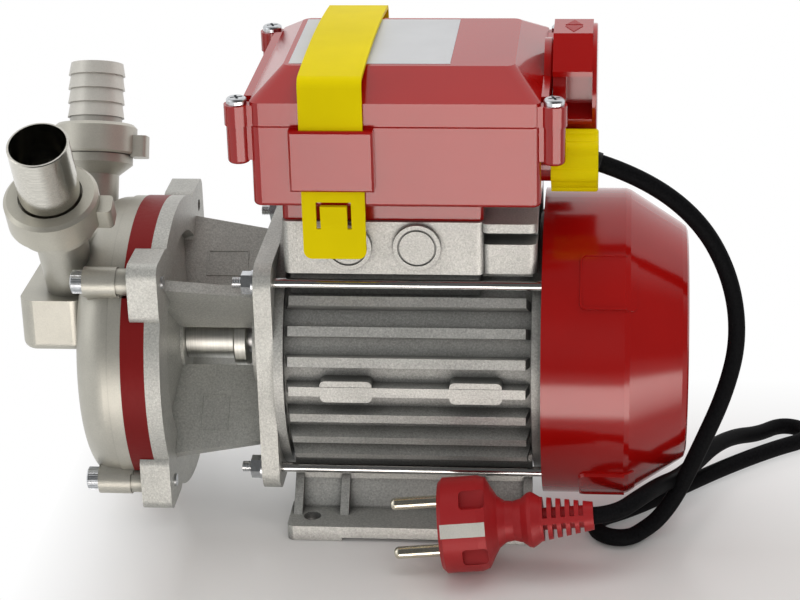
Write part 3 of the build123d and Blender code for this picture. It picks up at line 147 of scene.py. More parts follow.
def new_material(name: str) -> tuple[bpy.types.Material, Graph, bpy.types.Node]:
    """Start a material with a principled shader.

    Args:
        name: name of the material.

    Returns:
        The material, its graph and its principled shader.
    """
    material = bpy.data.materials.new(name)
    material.use_nodes = True
    graph = Graph(material.node_tree)
    material.node_tree.nodes.clear()
    shader = graph.node("ShaderNodeBsdfPrincipled")
    output = graph.node("ShaderNodeOutputMaterial")
    graph.link(shader.outputs["BSDF"], output.inputs["Surface"])
    return material, graph, shader


def shade(colour: Point, factor: float) -> Point:
    """Darken or lighten a colour."""
    return (
        min(1.0, colour[0] * factor), min(1.0, colour[1] * factor), min(1.0, colour[2] * factor)
    )


@dataclass(frozen=True)
class CastFinish:
    """Sand or die casting with a fine sparkling grain and painted shade in its crevices."""

    name: str
    colour: Point
    roughness: float = 0.42
    grain_mm: float = 0.9
    bump: float = 0.5
    metallic: float = 0.9
    dark: float = 0.8
    fleck: float = 1.35
    # Painted shade: occlusion reach, and the colour factor in the deepest crevices.
    crevice_mm: float = 8.0
    crevice_shade: float = 0.30

    def material(self) -> bpy.types.Material:
        """Build the casting's material."""
        material, graph, shader = new_material(self.name)
        shader.inputs["Metallic"].default_value = self.metallic
        place = graph.node("ShaderNodeTexCoord").outputs["Object"]
        grain = graph.noise(place, 1000.0 / self.grain_mm, 3.0, 0.65)
        patch = graph.noise(place, 45.0, 3.0)
        speck = graph.node("ShaderNodeTexVoronoi", {"Scale": 1400.0 / self.grain_mm})
        graph.link(place, speck.inputs["Vector"])
        tone = graph.ramp(
            grain.outputs["Fac"],
            [(0.30, shade(self.colour, self.dark)), (0.70, shade(self.colour, 1.10))],
        )
        flecks = graph.ramp(
            speck.outputs["Distance"], [(0.05, (self.fleck,) * 3), (0.30, (1.0, 1.0, 1.0))]
        )
        lit = graph.node("ShaderNodeMix", {"Factor": 1.0}, data_type="RGBA", blend_type="MULTIPLY")
        graph.link(tone.outputs["Color"], lit.inputs["A"])
        graph.link(flecks.outputs["Color"], lit.inputs["B"])
        cloud = graph.ramp(
            patch.outputs["Fac"], [(0.35, (0.86, 0.86, 0.86)), (0.65, (1.0, 1.0, 1.0))]
        )
        full = graph.node("ShaderNodeMix", {"Factor": 1.0}, data_type="RGBA", blend_type="MULTIPLY")
        graph.link(lit.outputs["Result"], full.inputs["A"])
        graph.link(cloud.outputs["Color"], full.inputs["B"])
        # Painted shade: ambient occlusion darkens the colour in crevices and between parts.
        hollow = graph.node(
            "ShaderNodeAmbientOcclusion", {"Distance": self.crevice_mm * MM}, samples=8
        )
        painted_crevice_shade = graph.ramp(
            hollow.outputs["AO"], [(0.35, (self.crevice_shade,) * 3), (0.85, (1.0, 1.0, 1.0))]
        )
        crevice_shaded_colour = graph.node("ShaderNodeMix", {"Factor": 1.0}, data_type="RGBA", blend_type="MULTIPLY")
        graph.link(full.outputs["Result"], crevice_shaded_colour.inputs["A"])
        graph.link(painted_crevice_shade.outputs["Color"], crevice_shaded_colour.inputs["B"])
        graph.link(crevice_shaded_colour.outputs["Result"], shader.inputs["Base Color"])
        matt = graph.remap(grain.outputs["Fac"], self.roughness - 0.12, self.roughness + 0.16)
        graph.link(matt.outputs["Result"], shader.inputs["Roughness"])
        bump = graph.node("ShaderNodeBump", {"Strength": self.bump, "Distance": 0.00035})
        graph.link(grain.outputs["Fac"], bump.inputs["Height"])
        graph.link(bump.outputs["Normal"], shader.inputs["Normal"])
        return material


@dataclass(frozen=True)
class MouldedFinish:
    """Injection moulded plastic with a faint ripple and tiny dust marks."""

    name: str
    colour: Point
    roughness: float = 0.2
    coat: float = 0.0
    ripple: float = 0.05
    ripple_mm: float = 5.0
    dust: float = 0.05
    specular: float = 0.5

    def material(self) -> bpy.types.Material:
        """Build the plastic's material."""
        material, graph, shader = new_material(self.name)
        shader.inputs["Specular IOR Level"].default_value = self.specular
        shader.inputs["Coat Weight"].default_value = self.coat
        shader.inputs["Coat Roughness"].default_value = 0.08
        place = graph.node("ShaderNodeTexCoord").outputs["Object"]
        cloud = graph.noise(place, 18.0, 4.0)
        fine = graph.noise(place, 900.0, 2.0)
        tone = graph.ramp(
            cloud.outputs["Fac"],
            [(0.3, shade(self.colour, 0.90)), (0.7, shade(self.colour, 1.08))],
        )
        graph.link(tone.outputs["Color"], shader.inputs["Base Color"])
        matt = graph.remap(
            fine.outputs["Fac"], self.roughness - self.dust, self.roughness + self.dust
        )
        graph.link(matt.outputs["Result"], shader.inputs["Roughness"])
        wave = graph.noise(place, 1000.0 / self.ripple_mm, 1.0)
        bump = graph.node("ShaderNodeBump", {"Strength": self.ripple, "Distance": 0.0004})
        graph.link(wave.outputs["Fac"], bump.inputs["Height"])
        graph.link(bump.outputs["Normal"], shader.inputs["Normal"])
        return material


@dataclass(frozen=True)
class MachinedFinish:
    """Turned, drawn or plated metal with fine marks along one direction."""

    name: str
    colour: Point
    roughness: float = 0.22
    lay: Lay = Lay.NONE
    marks: float = 0.15

    def material(self) -> bpy.types.Material:
        """Build the metal's material."""
        material, graph, shader = new_material(self.name)
        shader.inputs["Metallic"].default_value = 1.0
        place = graph.node("ShaderNodeTexCoord").outputs["Object"]
        stretch = graph.node("ShaderNodeMapping")
        stretch.inputs["Scale"].default_value = self.lay.value
        graph.link(place, stretch.inputs["Vector"])
        line = graph.noise(stretch.outputs["Vector"], 9.0, 4.0, 0.6)
        cloud = graph.noise(place, 60.0, 3.0)
        tone = graph.ramp(
            line.outputs["Fac"],
            [(0.3, shade(self.colour, 0.82)), (0.7, shade(self.colour, 1.10))],
        )
        graph.link(tone.outputs["Color"], shader.inputs["Base Color"])
        matt = graph.remap(cloud.outputs["Fac"], self.roughness - 0.06, self.roughness + 0.12)
        graph.link(matt.outputs["Result"], shader.inputs["Roughness"])
        bump = graph.node("ShaderNodeBump", {"Strength": self.marks, "Distance": 0.0001})
        graph.link(line.outputs["Fac"], bump.inputs["Height"])
        graph.link(bump.outputs["Normal"], shader.inputs["Normal"])
        return material


@dataclass(frozen=True)
class RubberFinish:
    """Matt or satin rubber with a powdery surface."""

    name: str
    colour: Point
    roughness: float = 0.5
    grain_mm: float = 0.6
    specular: float = 0.25

    def material(self) -> bpy.types.Material:
        """Build the rubber's material."""
        material, graph, shader = new_material(self.name)
        shader.inputs["Specular IOR Level"].default_value = self.specular
        place = graph.node("ShaderNodeTexCoord").outputs["Object"]
        grain = graph.noise(place, 1000.0 / self.grain_mm, 3.0)
        tone = graph.ramp(
            grain.outputs["Fac"],
            [(0.3, shade(self.colour, 0.8)), (0.7, shade(self.colour, 1.5))],
        )
        graph.link(tone.outputs["Color"], shader.inputs["Base Color"])
        matt = graph.remap(grain.outputs["Fac"], self.roughness - 0.08, self.roughness + 0.1)
        graph.link(matt.outputs["Result"], shader.inputs["Roughness"])
        bump = graph.node("ShaderNodeBump", {"Strength": 0.12, "Distance": 0.0002})
        graph.link(grain.outputs["Fac"], bump.inputs["Height"])
        graph.link(bump.outputs["Normal"], shader.inputs["Normal"])
        return material


class Finishes:
    """Every finish of the pump, built once."""

    def __init__(self) -> None:
        """Build the materials."""
        red = (0.37, 0.004, 0.003)
        kinds = [
            CastFinish(
                "cast_aluminium", (0.54, 0.54, 0.51), 0.44, 0.75, bump=0.40, metallic=0.50,
                dark=0.66
            ),
            CastFinish(
                "bracket_casting", (0.60, 0.60, 0.56), 0.44, 0.75, bump=0.40, metallic=0.45,
                dark=0.70, crevice_shade=0.7
            ),
            CastFinish(
                "nickel_casting", (0.52, 0.505, 0.445), 0.38, 0.6, bump=0.08, metallic=0.65,
                dark=0.96, fleck=1.06, crevice_shade=0.6
            ),
            CastFinish(
                "smooth_nickel", (0.52, 0.50, 0.43), 0.32, 0.5, bump=0.03, metallic=0.70, dark=0.97,
                fleck=1.05, crevice_shade=0.6
            ),
            # Painted light: lighter, less metallic copy of the nickel that stands in for the white
            # surroundings reflected in the barb and the plug's earth clips.
            CastFinish(
                "nickel_painted_brighter", (0.70, 0.68, 0.62), 0.36, 0.5, bump=0.03, metallic=0.30, dark=0.97,
                fleck=1.0, crevice_shade=0.6
            ),
            # Painted light: lighter copy of the nickel that stands in for the white surroundings
            # reflected in the outlet nut.
            CastFinish(
                "nickel_painted_lighter", (0.58, 0.56, 0.49), 0.36, 0.5, bump=0.03, metallic=0.45, dark=0.97,
                fleck=1.0, crevice_shade=0.6
            ),
            MachinedFinish("bright_steel", (0.64, 0.62, 0.56), 0.14, Lay.ALONG_X, 0.25),
            MachinedFinish("turned_aluminium", (0.62, 0.62, 0.58), 0.36, Lay.ROUND_X, 0.3),
            MachinedFinish("zinc_steel", (0.62, 0.64, 0.66), 0.26, Lay.NONE, 0.15),
            MachinedFinish("rod_steel", (0.66, 0.66, 0.65), 0.16, Lay.ALONG_X, 0.1),
            MachinedFinish("bearing_steel", (0.55, 0.55, 0.55), 0.3, Lay.NONE, 0.1),
            MachinedFinish("lamination_steel", (0.22, 0.22, 0.23), 0.45, Lay.ALONG_Y, 0.4),
            MachinedFinish("copper_winding", (0.55, 0.22, 0.08), 0.35, Lay.ALONG_Z, 0.6),
            MachinedFinish("impeller_brass", (0.68, 0.48, 0.20), 0.3, Lay.NONE, 0.2),
            MachinedFinish("plug_nickel", (0.72, 0.68, 0.56), 0.17, Lay.ALONG_X, 0.1),
            MouldedFinish("red_plastic", red, 0.15, coat=0.12, ripple=0.02),
            MouldedFinish(
                "red_lacquer", (0.20, 0.004, 0.004), 0.40, ripple=0.2, ripple_mm=2.2, specular=0.2
            ),
            MouldedFinish("plug_red", (0.34, 0.010, 0.012), 0.42, ripple=0.05, specular=0.35),
            MouldedFinish("yellow_plastic", (0.84, 0.67, 0.001), 0.45, ripple=0.06, specular=0.05),
            MouldedFinish("black_plastic", (0.02, 0.02, 0.02), 0.4),
            MouldedFinish("grey_plastic", (0.42, 0.42, 0.41), 0.4),
            MouldedFinish("label_film", (0.62, 0.625, 0.635), 0.45, ripple=0.0, specular=0.3),
            RubberFinish("black_rubber", (0.012, 0.012, 0.012), 0.55),
            RubberFinish("seal_carbon", (0.03, 0.03, 0.03), 0.4),
            RubberFinish("cord_jacket", (0.006, 0.006, 0.0065), 0.5, 0.9, specular=0.02),
        ]
        self.materials = {kind.name: kind.material() for kind in kinds}

    def __getitem__(self, name: str) -> bpy.types.Material:
        """Return a finish by name."""
        return self.materials[name]


def mesh_piece(
    name: str, mesh: bpy.types.Mesh, material: bpy.types.Material, body: Body
) -> bpy.types.Object:
    """Put a finished mesh on a body.

    Args:
        name: name of the piece.
        mesh: its mesh, in the row frame, in metres.
        material: its finish.
        body: the body it rides on.

    Returns:
        The new object.
    """
    thing = bpy.data.objects.new(name, mesh)
    bpy.context.scene.collection.objects.link(thing)
    thing.data.materials.clear()
    thing.data.materials.append(material)
    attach(thing, body.value)
    log.info("%s: %d faces", name, len(mesh.polygons))
    return thing


def bevelled_plate(
    name: str, outline: Sequence[Vector], normal: Vector, thick: float, bevel: float
) -> bpy.types.Mesh:
    """Make a thin plate from a flat outline.

    Args:
        name: name of the mesh.
        outline: corner points in order, counter-clockwise seen against the normal.
        normal: direction the plate rises in.
        thick: height of the plate, in metres.
        bevel: width of the top edge's bevel, in metres.

    Returns:
        The plate's mesh.
    """
    work = bmesh.new()
    low = [work.verts.new(point) for point in outline]
    high = [work.verts.new(point + normal * thick) for point in outline]
    count = len(outline)
    work.faces.new(list(reversed(low)))
    top = work.faces.new(high)
    for index in range(count):
        after = (index + 1) % count
        work.faces.new((low[index], low[after], high[after], high[index]))
    bmesh.ops.bevel(
        work, geom=list(top.edges), offset=bevel, segments=2, affect="EDGES", profile=0.5
    )
    bmesh.ops.recalc_face_normals(work, faces=work.faces)
    mesh = bpy.data.meshes.new(name)
    work.to_mesh(mesh)
    work.free()
    return mesh


class Repeats:
    """Geometry Nodes trees that repeat a mesh, grown to plain meshes."""

    def __init__(self) -> None:
        """Build both trees."""
        self.ring = self.ring_tree()
        self.thread = self.thread_tree()

    @staticmethod
    def start_tree(
        name: str, inputs: Sequence[tuple[str, str]]
    ) -> tuple[bpy.types.NodeTree, Graph, bpy.types.Node]:
        """Start a tree with named inputs.

        Args:
            name: name of the tree.
            inputs: names and socket types, after the geometry.

        Returns:
            The tree, its graph and its input node.
        """
        tree = bpy.data.node_groups.new(name, "GeometryNodeTree")
        tree.interface.new_socket("Geometry", in_out="INPUT", socket_type="NodeSocketGeometry")
        for label, kind in inputs:
            tree.interface.new_socket(label, in_out="INPUT", socket_type=kind)
        tree.interface.new_socket("Geometry", in_out="OUTPUT", socket_type="NodeSocketGeometry")
        graph = Graph(tree)
        return tree, graph, graph.node("NodeGroupInput")

    @staticmethod
    def end_tree(
        graph: Graph, copies: bpy.types.NodeSocket, material: bpy.types.NodeSocket
    ) -> None:
        """Realize the copies, set their material and send them out."""
        real = graph.node("GeometryNodeRealizeInstances")
        graph.link(copies, real.inputs["Geometry"])
        dressed = graph.node("GeometryNodeSetMaterial")
        graph.link(real.outputs["Geometry"], dressed.inputs["Geometry"])
        graph.link(material, dressed.inputs["Material"])
        out = graph.node("NodeGroupOutput")
        graph.link(dressed.outputs["Geometry"], out.inputs["Geometry"])

    def ring_tree(self) -> bpy.types.NodeTree:
        """Tree that turns copies of a mesh round an axis along X."""
        inputs = [
            ("Count", "NodeSocketInt"),
            ("Start", "NodeSocketFloat"),
            ("Step", "NodeSocketFloat"),
            ("Centre", "NodeSocketVector"),
            ("Material", "NodeSocketMaterial"),
        ]
        tree, graph, given = self.start_tree("ring_repeat", inputs)
        line = graph.node("GeometryNodeMeshLine", {"Offset": (0.0, 0.0, 0.0)})
        graph.link(given.outputs["Count"], line.inputs["Count"])
        graph.link(given.outputs["Centre"], line.inputs["Start Location"])
        index = graph.node("GeometryNodeInputIndex")
        angle = graph.node("ShaderNodeMath", operation="MULTIPLY_ADD")
        graph.link(index.outputs["Index"], angle.inputs[0])
        graph.link(given.outputs["Step"], angle.inputs[1])
        graph.link(given.outputs["Start"], angle.inputs[2])
        turn = graph.node("ShaderNodeCombineXYZ")
        graph.link(angle.outputs[0], turn.inputs["X"])
        rotation = graph.node("FunctionNodeEulerToRotation")
        graph.link(turn.outputs[0], rotation.inputs["Euler"])
        copies = graph.node("GeometryNodeInstanceOnPoints")
        graph.link(line.outputs["Mesh"], copies.inputs["Points"])
        graph.link(given.outputs["Geometry"], copies.inputs["Instance"])
        graph.link(rotation.outputs["Rotation"], copies.inputs["Rotation"])
        self.end_tree(graph, copies.outputs["Instances"], given.outputs["Material"])
        return tree

    def thread_tree(self) -> bpy.types.NodeTree:
        """Tree that winds a thread along X from every point of a mesh."""
        inputs = [
            ("Radius", "NodeSocketFloat"),
            ("Wire", "NodeSocketFloat"),
            ("Turns", "NodeSocketFloat"),
            ("Length", "NodeSocketFloat"),
            ("Material", "NodeSocketMaterial"),
        ]
        tree, graph, given = self.start_tree("thread_run", inputs)
        spiral = graph.node("GeometryNodeCurveSpiral", {"Resolution": 24})
        graph.link(given.outputs["Turns"], spiral.inputs["Rotations"])
        graph.link(given.outputs["Radius"], spiral.inputs["Start Radius"])
        graph.link(given.outputs["Radius"], spiral.inputs["End Radius"])
        graph.link(given.outputs["Length"], spiral.inputs["Height"])
        profile = graph.node("GeometryNodeCurvePrimitiveCircle", {"Resolution": 6})
        graph.link(given.outputs["Wire"], profile.inputs["Radius"])
        swept = graph.node("GeometryNodeCurveToMesh", {"Fill Caps": True})
        graph.link(spiral.outputs["Curve"], swept.inputs["Curve"])
        graph.link(profile.outputs["Curve"], swept.inputs["Profile Curve"])
        rotation = graph.node("FunctionNodeEulerToRotation", {"Euler": (0.0, math.pi / 2, 0.0)})
        copies = graph.node("GeometryNodeInstanceOnPoints")
        graph.link(given.outputs["Geometry"], copies.inputs["Points"])
        graph.link(swept.outputs["Mesh"], copies.inputs["Instance"])
        graph.link(rotation.outputs["Rotation"], copies.inputs["Rotation"])
        self.end_tree(graph, copies.outputs["Instances"], given.outputs["Material"])
        return tree

    @staticmethod
    def grow(
        name: str, seed: bpy.types.Mesh, tree: bpy.types.NodeTree, values: dict[str, object]
    ) -> bpy.types.Mesh:
        """Grow a plain mesh from a seed.

        Args:
            name: name of the mesh.
            seed: the mesh that the tree starts from.
            tree: the tree.
            values: its named inputs.

        Returns:
            The grown mesh.
        """
        host = bpy.data.objects.new(name, seed)
        bpy.context.scene.collection.objects.link(host)
        modifier = host.modifiers.new("repeat", "NODES")
        modifier.node_group = tree
        for item in tree.interface.items_tree:
            if item.item_type == "SOCKET" and item.in_out == "INPUT" and item.name in values:
                modifier[item.identifier] = values[item.name]
        depsgraph = bpy.context.evaluated_depsgraph_get()
        mesh = bpy.data.meshes.new_from_object(host.evaluated_get(depsgraph))
        bpy.data.objects.remove(host)
        mesh.name = name
        return mesh


def lofted_rib(name: str, rings: Sequence[Sequence[Point]]) -> bpy.types.Mesh:
    """Make a closed rib through four-cornered rings, given in millimetres."""
    work = bmesh.new()
    loops = [[work.verts.new(Vector(point) * MM) for point in ring] for ring in rings]
    for before, after in zip(loops, loops[1:]):
        for index in range(4):
            follow = (index + 1) % 4
            work.faces.new((before[index], before[follow], after[follow], after[index]))
    work.faces.new(list(reversed(loops[0])))
    work.faces.new(loops[-1])
    bmesh.ops.recalc_face_normals(work, faces=work.faces)
    mesh = bpy.data.meshes.new(name)
    work.to_mesh(mesh)
    work.free()
    return mesh


def raised_border(
    name: str, outer: Sequence[Vector], normal: Vector, width: float, high: float
) -> bpy.types.Mesh:
    """Make a raised rectangular border on a flat face.

    Args:
        name: name of the mesh.
        outer: the four outer corners in order, in metres.
        normal: direction the border rises in.
        width: width of the border, in metres.
        high: its height, in metres.

    Returns:
        The border's mesh.
    """
    middle = sum(outer, Vector()) / 4
    work = bmesh.new()
    across = (outer[1] - outer[0]).normalized()
    along = (outer[2] - outer[1]).normalized()
    rows = []
    for inset, lift in (
        (0.0, -0.1 * MM), (0.15 * width, high), (0.85 * width, high), (width, -0.1 * MM)
    ):
        row = []
        for corner in outer:
            side_x = 1.0 if (corner - middle).dot(across) > 0 else -1.0
            side_y = 1.0 if (corner - middle).dot(along) > 0 else -1.0
            place = corner - across * side_x * inset - along * side_y * inset + normal * lift
            row.append(work.verts.new(place))
        rows.append(row)
    rows.append(rows[0])
    for before, after in zip(rows, rows[1:]):
        for index in range(4):
            follow = (index + 1) % 4
            work.faces.new((before[index], before[follow], after[follow], after[index]))
    bmesh.ops.recalc_face_normals(work, faces=work.faces)
    mesh = bpy.data.meshes.new(name)
    work.to_mesh(mesh)
    work.free()
    return mesh


@dataclass
class PumpHead:
    """Casing, ring, ports and bracket."""

    finishes: Finishes
    repeats: Repeats
    screw_reach: float = 43.1
    head_z: float = 60.8
    head_radius: float = 4.5
    knurl_length: float = 4.2
    knurl_count: int = 30
    axis_z: float = 63.0
    web_half: float = 2.25
    border_width: float = 0.7
    border_height: float = 0.35
    metals: dict[str, str] = field(
        default_factory=lambda: {
            "pump_casing": "nickel_casting",
            "inlet_union_nut": "smooth_nickel",
            # Painted light: the outlet nut wears a lightened copy of the nickel.
            "outlet_union_nut": "nickel_painted_lighter",
            # Painted light: the barb wears a lightened, less metallic copy of the nickel.
            "outlet_barb": "nickel_painted_brighter",
            "inlet_pipe": "bright_steel",
            "lantern_bracket": "bracket_casting",
            "spacer_ring": "red_lacquer",
            "casing_screws": "zinc_steel",
            "port_plate": "impeller_brass",
            "impeller": "impeller_brass",
            "impeller_key": "bearing_steel",
            "impeller_nut": "bearing_steel",
            "casing_o_ring": "black_rubber",
            "inlet_gasket": "black_rubber",
            "outlet_gasket": "black_rubber",
            "seal_seat": "seal_carbon",
            "seal_head": "seal_carbon",
        }
    )

    def build(self, nodes: dict[str, bpy.types.Object]) -> None:
        """Dress the head's nodes and add the screws' knurls and the webs' borders."""
        dress(nodes, self.metals, self.finishes)
        self.knurls()
        self.web_borders()

    def knurls(self) -> None:
        """Fine ridges round the heads of the three casing screws."""
        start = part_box("casing_screws")[0][0] / MM + 0.4
        low, high = self.head_radius - 0.12, self.head_radius + 0.16
        section = ((-0.28, low), (-0.06, high), (0.06, high), (0.28, low))
        rings = [[(x, y, z) for y, z in section] for x in (start, start + self.knurl_length)]
        places = ((-1, 1), (-1, -1), (1, -1))
        for index, (side_y, side_z) in enumerate(places, start=1):
            name = f"screw_knurl_{index}"
            centre = (
                0.0, side_y * self.screw_reach * MM, (self.head_z + side_z * self.screw_reach) * MM
            )
            values = {
                "Count": self.knurl_count,
                "Start": 0.0,
                "Step": 2 * math.pi / self.knurl_count,
                "Centre": centre,
                "Material": self.finishes["zinc_steel"],
            }
            mesh = self.repeats.grow(
                name, lofted_rib(name + "_tooth", rings), self.repeats.ring, values
            )
            mesh_piece(name, mesh, self.finishes["zinc_steel"], Body.PUMP)

    def web_borders(self) -> None:
        """Bare raised borders cast on two of the bracket's webs."""
        half = math.sqrt(0.5)
        normal = Vector((0.0, -half, half))
        outward = Vector((0.0, half, half))
        axis = Vector((0.0, 0.0, self.axis_z))
        spans = {
            "lower_web_border": (-87.6, -75.8, -42.4, -27.3),
            "upper_web_border": (-90.0, -72.6, 25.4, 37.1)
        }
        for name, (x0, x1, r0, r1) in spans.items():
            corners = [(x0, r0), (x1, r0), (x1, r1), (x0, r1)]
            outer = [
                (axis + Vector((x, 0, 0)) + outward * r + normal * self.web_half) * MM for x,
                r in corners
            ]
            mesh = raised_border(name, outer, normal, self.border_width * MM, self.border_height * MM)
            mesh_piece(name, mesh, self.finishes["bracket_casting"], Body.PUMP)


@dataclass
class Motor:
    """Frame, shaft parts, rods and fan end."""

    finishes: Finishes
    repeats: Repeats
    axis_z: float = 63.0
    rod_offset: float = 40.1
    rod_radius: float = 2.0
    stud_start: float = -68.6
    thread_length: float = 3.2
    thread_turns: float = 5.0
    cover_radius: float = 61.9
    panel_start: float = 66.9
    panel_end: float = 84.4
    panel_half: float = 10.9
    panel_corner: float = 2.2
    metals: dict[str, str] = field(
        default_factory=lambda: {
            "motor_frame": "cast_aluminium",
            "rear_shield": "cast_aluminium",
            "stator_core": "lamination_steel",
            "rotor_core": "lamination_steel",
            "stator_windings": "copper_winding",
            "front_bearing": "bearing_steel",
            "rear_bearing": "bearing_steel",
            "motor_shaft": "bearing_steel",
            "shaft_sleeve": "turned_aluminium",
            "shaft_slinger": "turned_aluminium",
            "tie_rods": "rod_steel",
            "tie_rod_nuts": "zinc_steel",
            "tie_rod_washers": "zinc_steel",
            "cooling_fan": "black_plastic",
            "fan_cover": "red_plastic",
        }
    )

    def build(self, nodes: dict[str, bpy.types.Object]) -> None:
        """Dress the motor's nodes and add stud threads and panel edges."""
        dress(nodes, self.metals, self.finishes)
        self.stud_threads()
        self.panel_edges()

    def stud_threads(self) -> None:
        """Thread on the free ends of the four tie rods."""
        seed = bpy.data.meshes.new("stud_ends")
        sides = ((-1, -1), (-1, 1), (1, -1), (1, 1))
        places = [
            (self.stud_start, y * self.rod_offset, self.axis_z + z * self.rod_offset) for y,
            z in sides
        ]
        seed.from_pydata([Vector(place) * MM for place in places], [], [])
        values = {
            "Radius": (self.rod_radius + 0.02) * MM,
            "Wire": 0.2 * MM,
            "Turns": self.thread_turns,
            "Length": self.thread_length * MM,
            "Material": self.finishes["zinc_steel"],
        }
        mesh = self.repeats.grow("stud_threads", seed, self.repeats.thread, values)
        mesh_piece("stud_threads", mesh, self.finishes["zinc_steel"], Body.PUMP)

    def panel_edges(self) -> None:
        """Rounded moulded edge on three sides of the cover's four corner panels."""
        corner = self.panel_corner
        path = [(self.panel_end, self.panel_half, 0.0, 1.0)]
        for step in range(7):
            angle = math.radians(90 + step * 15)
            x = self.panel_start + corner + corner * math.cos(angle)
            y = self.panel_half - corner + corner * math.sin(angle)
            path.append((x, y, math.cos(angle), math.sin(angle)))
        path += [(x, -y, out_x, -out_y) for x, y, out_x, out_y in reversed(path)]
        section = ((-0.75, -0.3), (-0.35, 1.35), (0.35, 1.35), (0.75, -0.3))
        rings = []
        for x, y, out_x, out_y in path:
            ring = []
            for aside, high in section:
                turn = (y + out_y * aside) / self.cover_radius
                radius = self.cover_radius + high
                ring.append((x + out_x * aside, radius * math.sin(turn), radius * math.cos(turn)))
            rings.append(ring)
        values = {
            "Count": 4,
            "Start": math.radians(45.0),
            "Step": math.radians(90.0),
            "Centre": (0.0, 0.0, self.axis_z * MM),
            "Material": self.finishes["red_plastic"],
        }
        mesh = self.repeats.grow(
            "panel_edges", lofted_rib("panel_edge", rings), self.repeats.ring, values
        )
        mesh_piece("panel_edges", mesh, self.finishes["red_plastic"], Body.PUMP)


@dataclass
class TerminalBox:
    """Box, lid, strap, switch and gland, with the bare rating plate and the switch arrow."""

    finishes: Finishes
    lid_top_z: float = 189.0
    knob_top_z: float = 195.15
    knob_x: float = 63.0
    arrow_half: float = 3.4
    arrow_thick: float = 0.3
    arrow_bevel: float = 0.15
    plate_x: tuple[float, float] = (-44.5, 17.0)
    plate_half: float = 30.0
    plate_thick: float = 0.18
    plate_bevel: float = 0.05
    plastics: dict[str, str] = field(
        default_factory=lambda: {
            "box_base": "red_plastic",
            "box_lid": "red_plastic",
            "lid_gasket": "black_rubber",
            "lid_screws": "zinc_steel",
            "capacitor": "grey_plastic",
            "terminal_block": "grey_plastic",
            "carry_strap": "yellow_plastic",
            "switch_plate": "red_plastic",
            "switch_body": "black_plastic",
            "switch_spindle": "bearing_steel",
            "switch_knob": "red_plastic",
            "cable_gland_nut": "yellow_plastic",
            "gland_grommet": "black_rubber",
        }
    )

    def build(self, nodes: dict[str, bpy.types.Object]) -> None:
        """Dress the box and add its plate and the knob's arrow."""
        dress(nodes, self.plastics, self.finishes)
        self.rating_plate()
        self.knob_arrow()

    def knob_arrow(self) -> None:
        """Plain two-headed arrow on the flat top of the switch knob."""
        z = self.knob_top_z
        heads = {"knob_arrow_front": (-0.6, -8.0), "knob_arrow_back": (1.4, 8.0)}
        for name, (base, tip) in heads.items():
            left, right = self.knob_x - self.arrow_half, self.knob_x + self.arrow_half
            corners = [(left, base), (right, base), (self.knob_x, tip)]
            outline = [Vector((x, y, z)) * MM for x, y in corners]
            thick, bevel = self.arrow_thick * MM, self.arrow_bevel * MM
            mesh = bevelled_plate(name, outline, Vector((0, 0, 1)), thick, bevel)
            mesh_piece(name, mesh, self.finishes["plug_red"], Body.SWITCH)

    def rating_plate(self) -> None:
        """Bare film plate on the lid, under the strap."""
        z = self.lid_top_z
        (x0, x1), half = self.plate_x, self.plate_half
        corners = [(x0, -half), (x1, -half), (x1, half), (x0, half)]
        outline = [Vector((x * MM, y * MM, z * MM)) for x, y in corners]
        thick, bevel = self.plate_thick * MM, self.plate_bevel * MM
        mesh = bevelled_plate("rating_plate", outline, Vector((0, 0, 1)), thick, bevel)
        mesh_piece("rating_plate", mesh, self.finishes["label_film"], Body.PUMP)


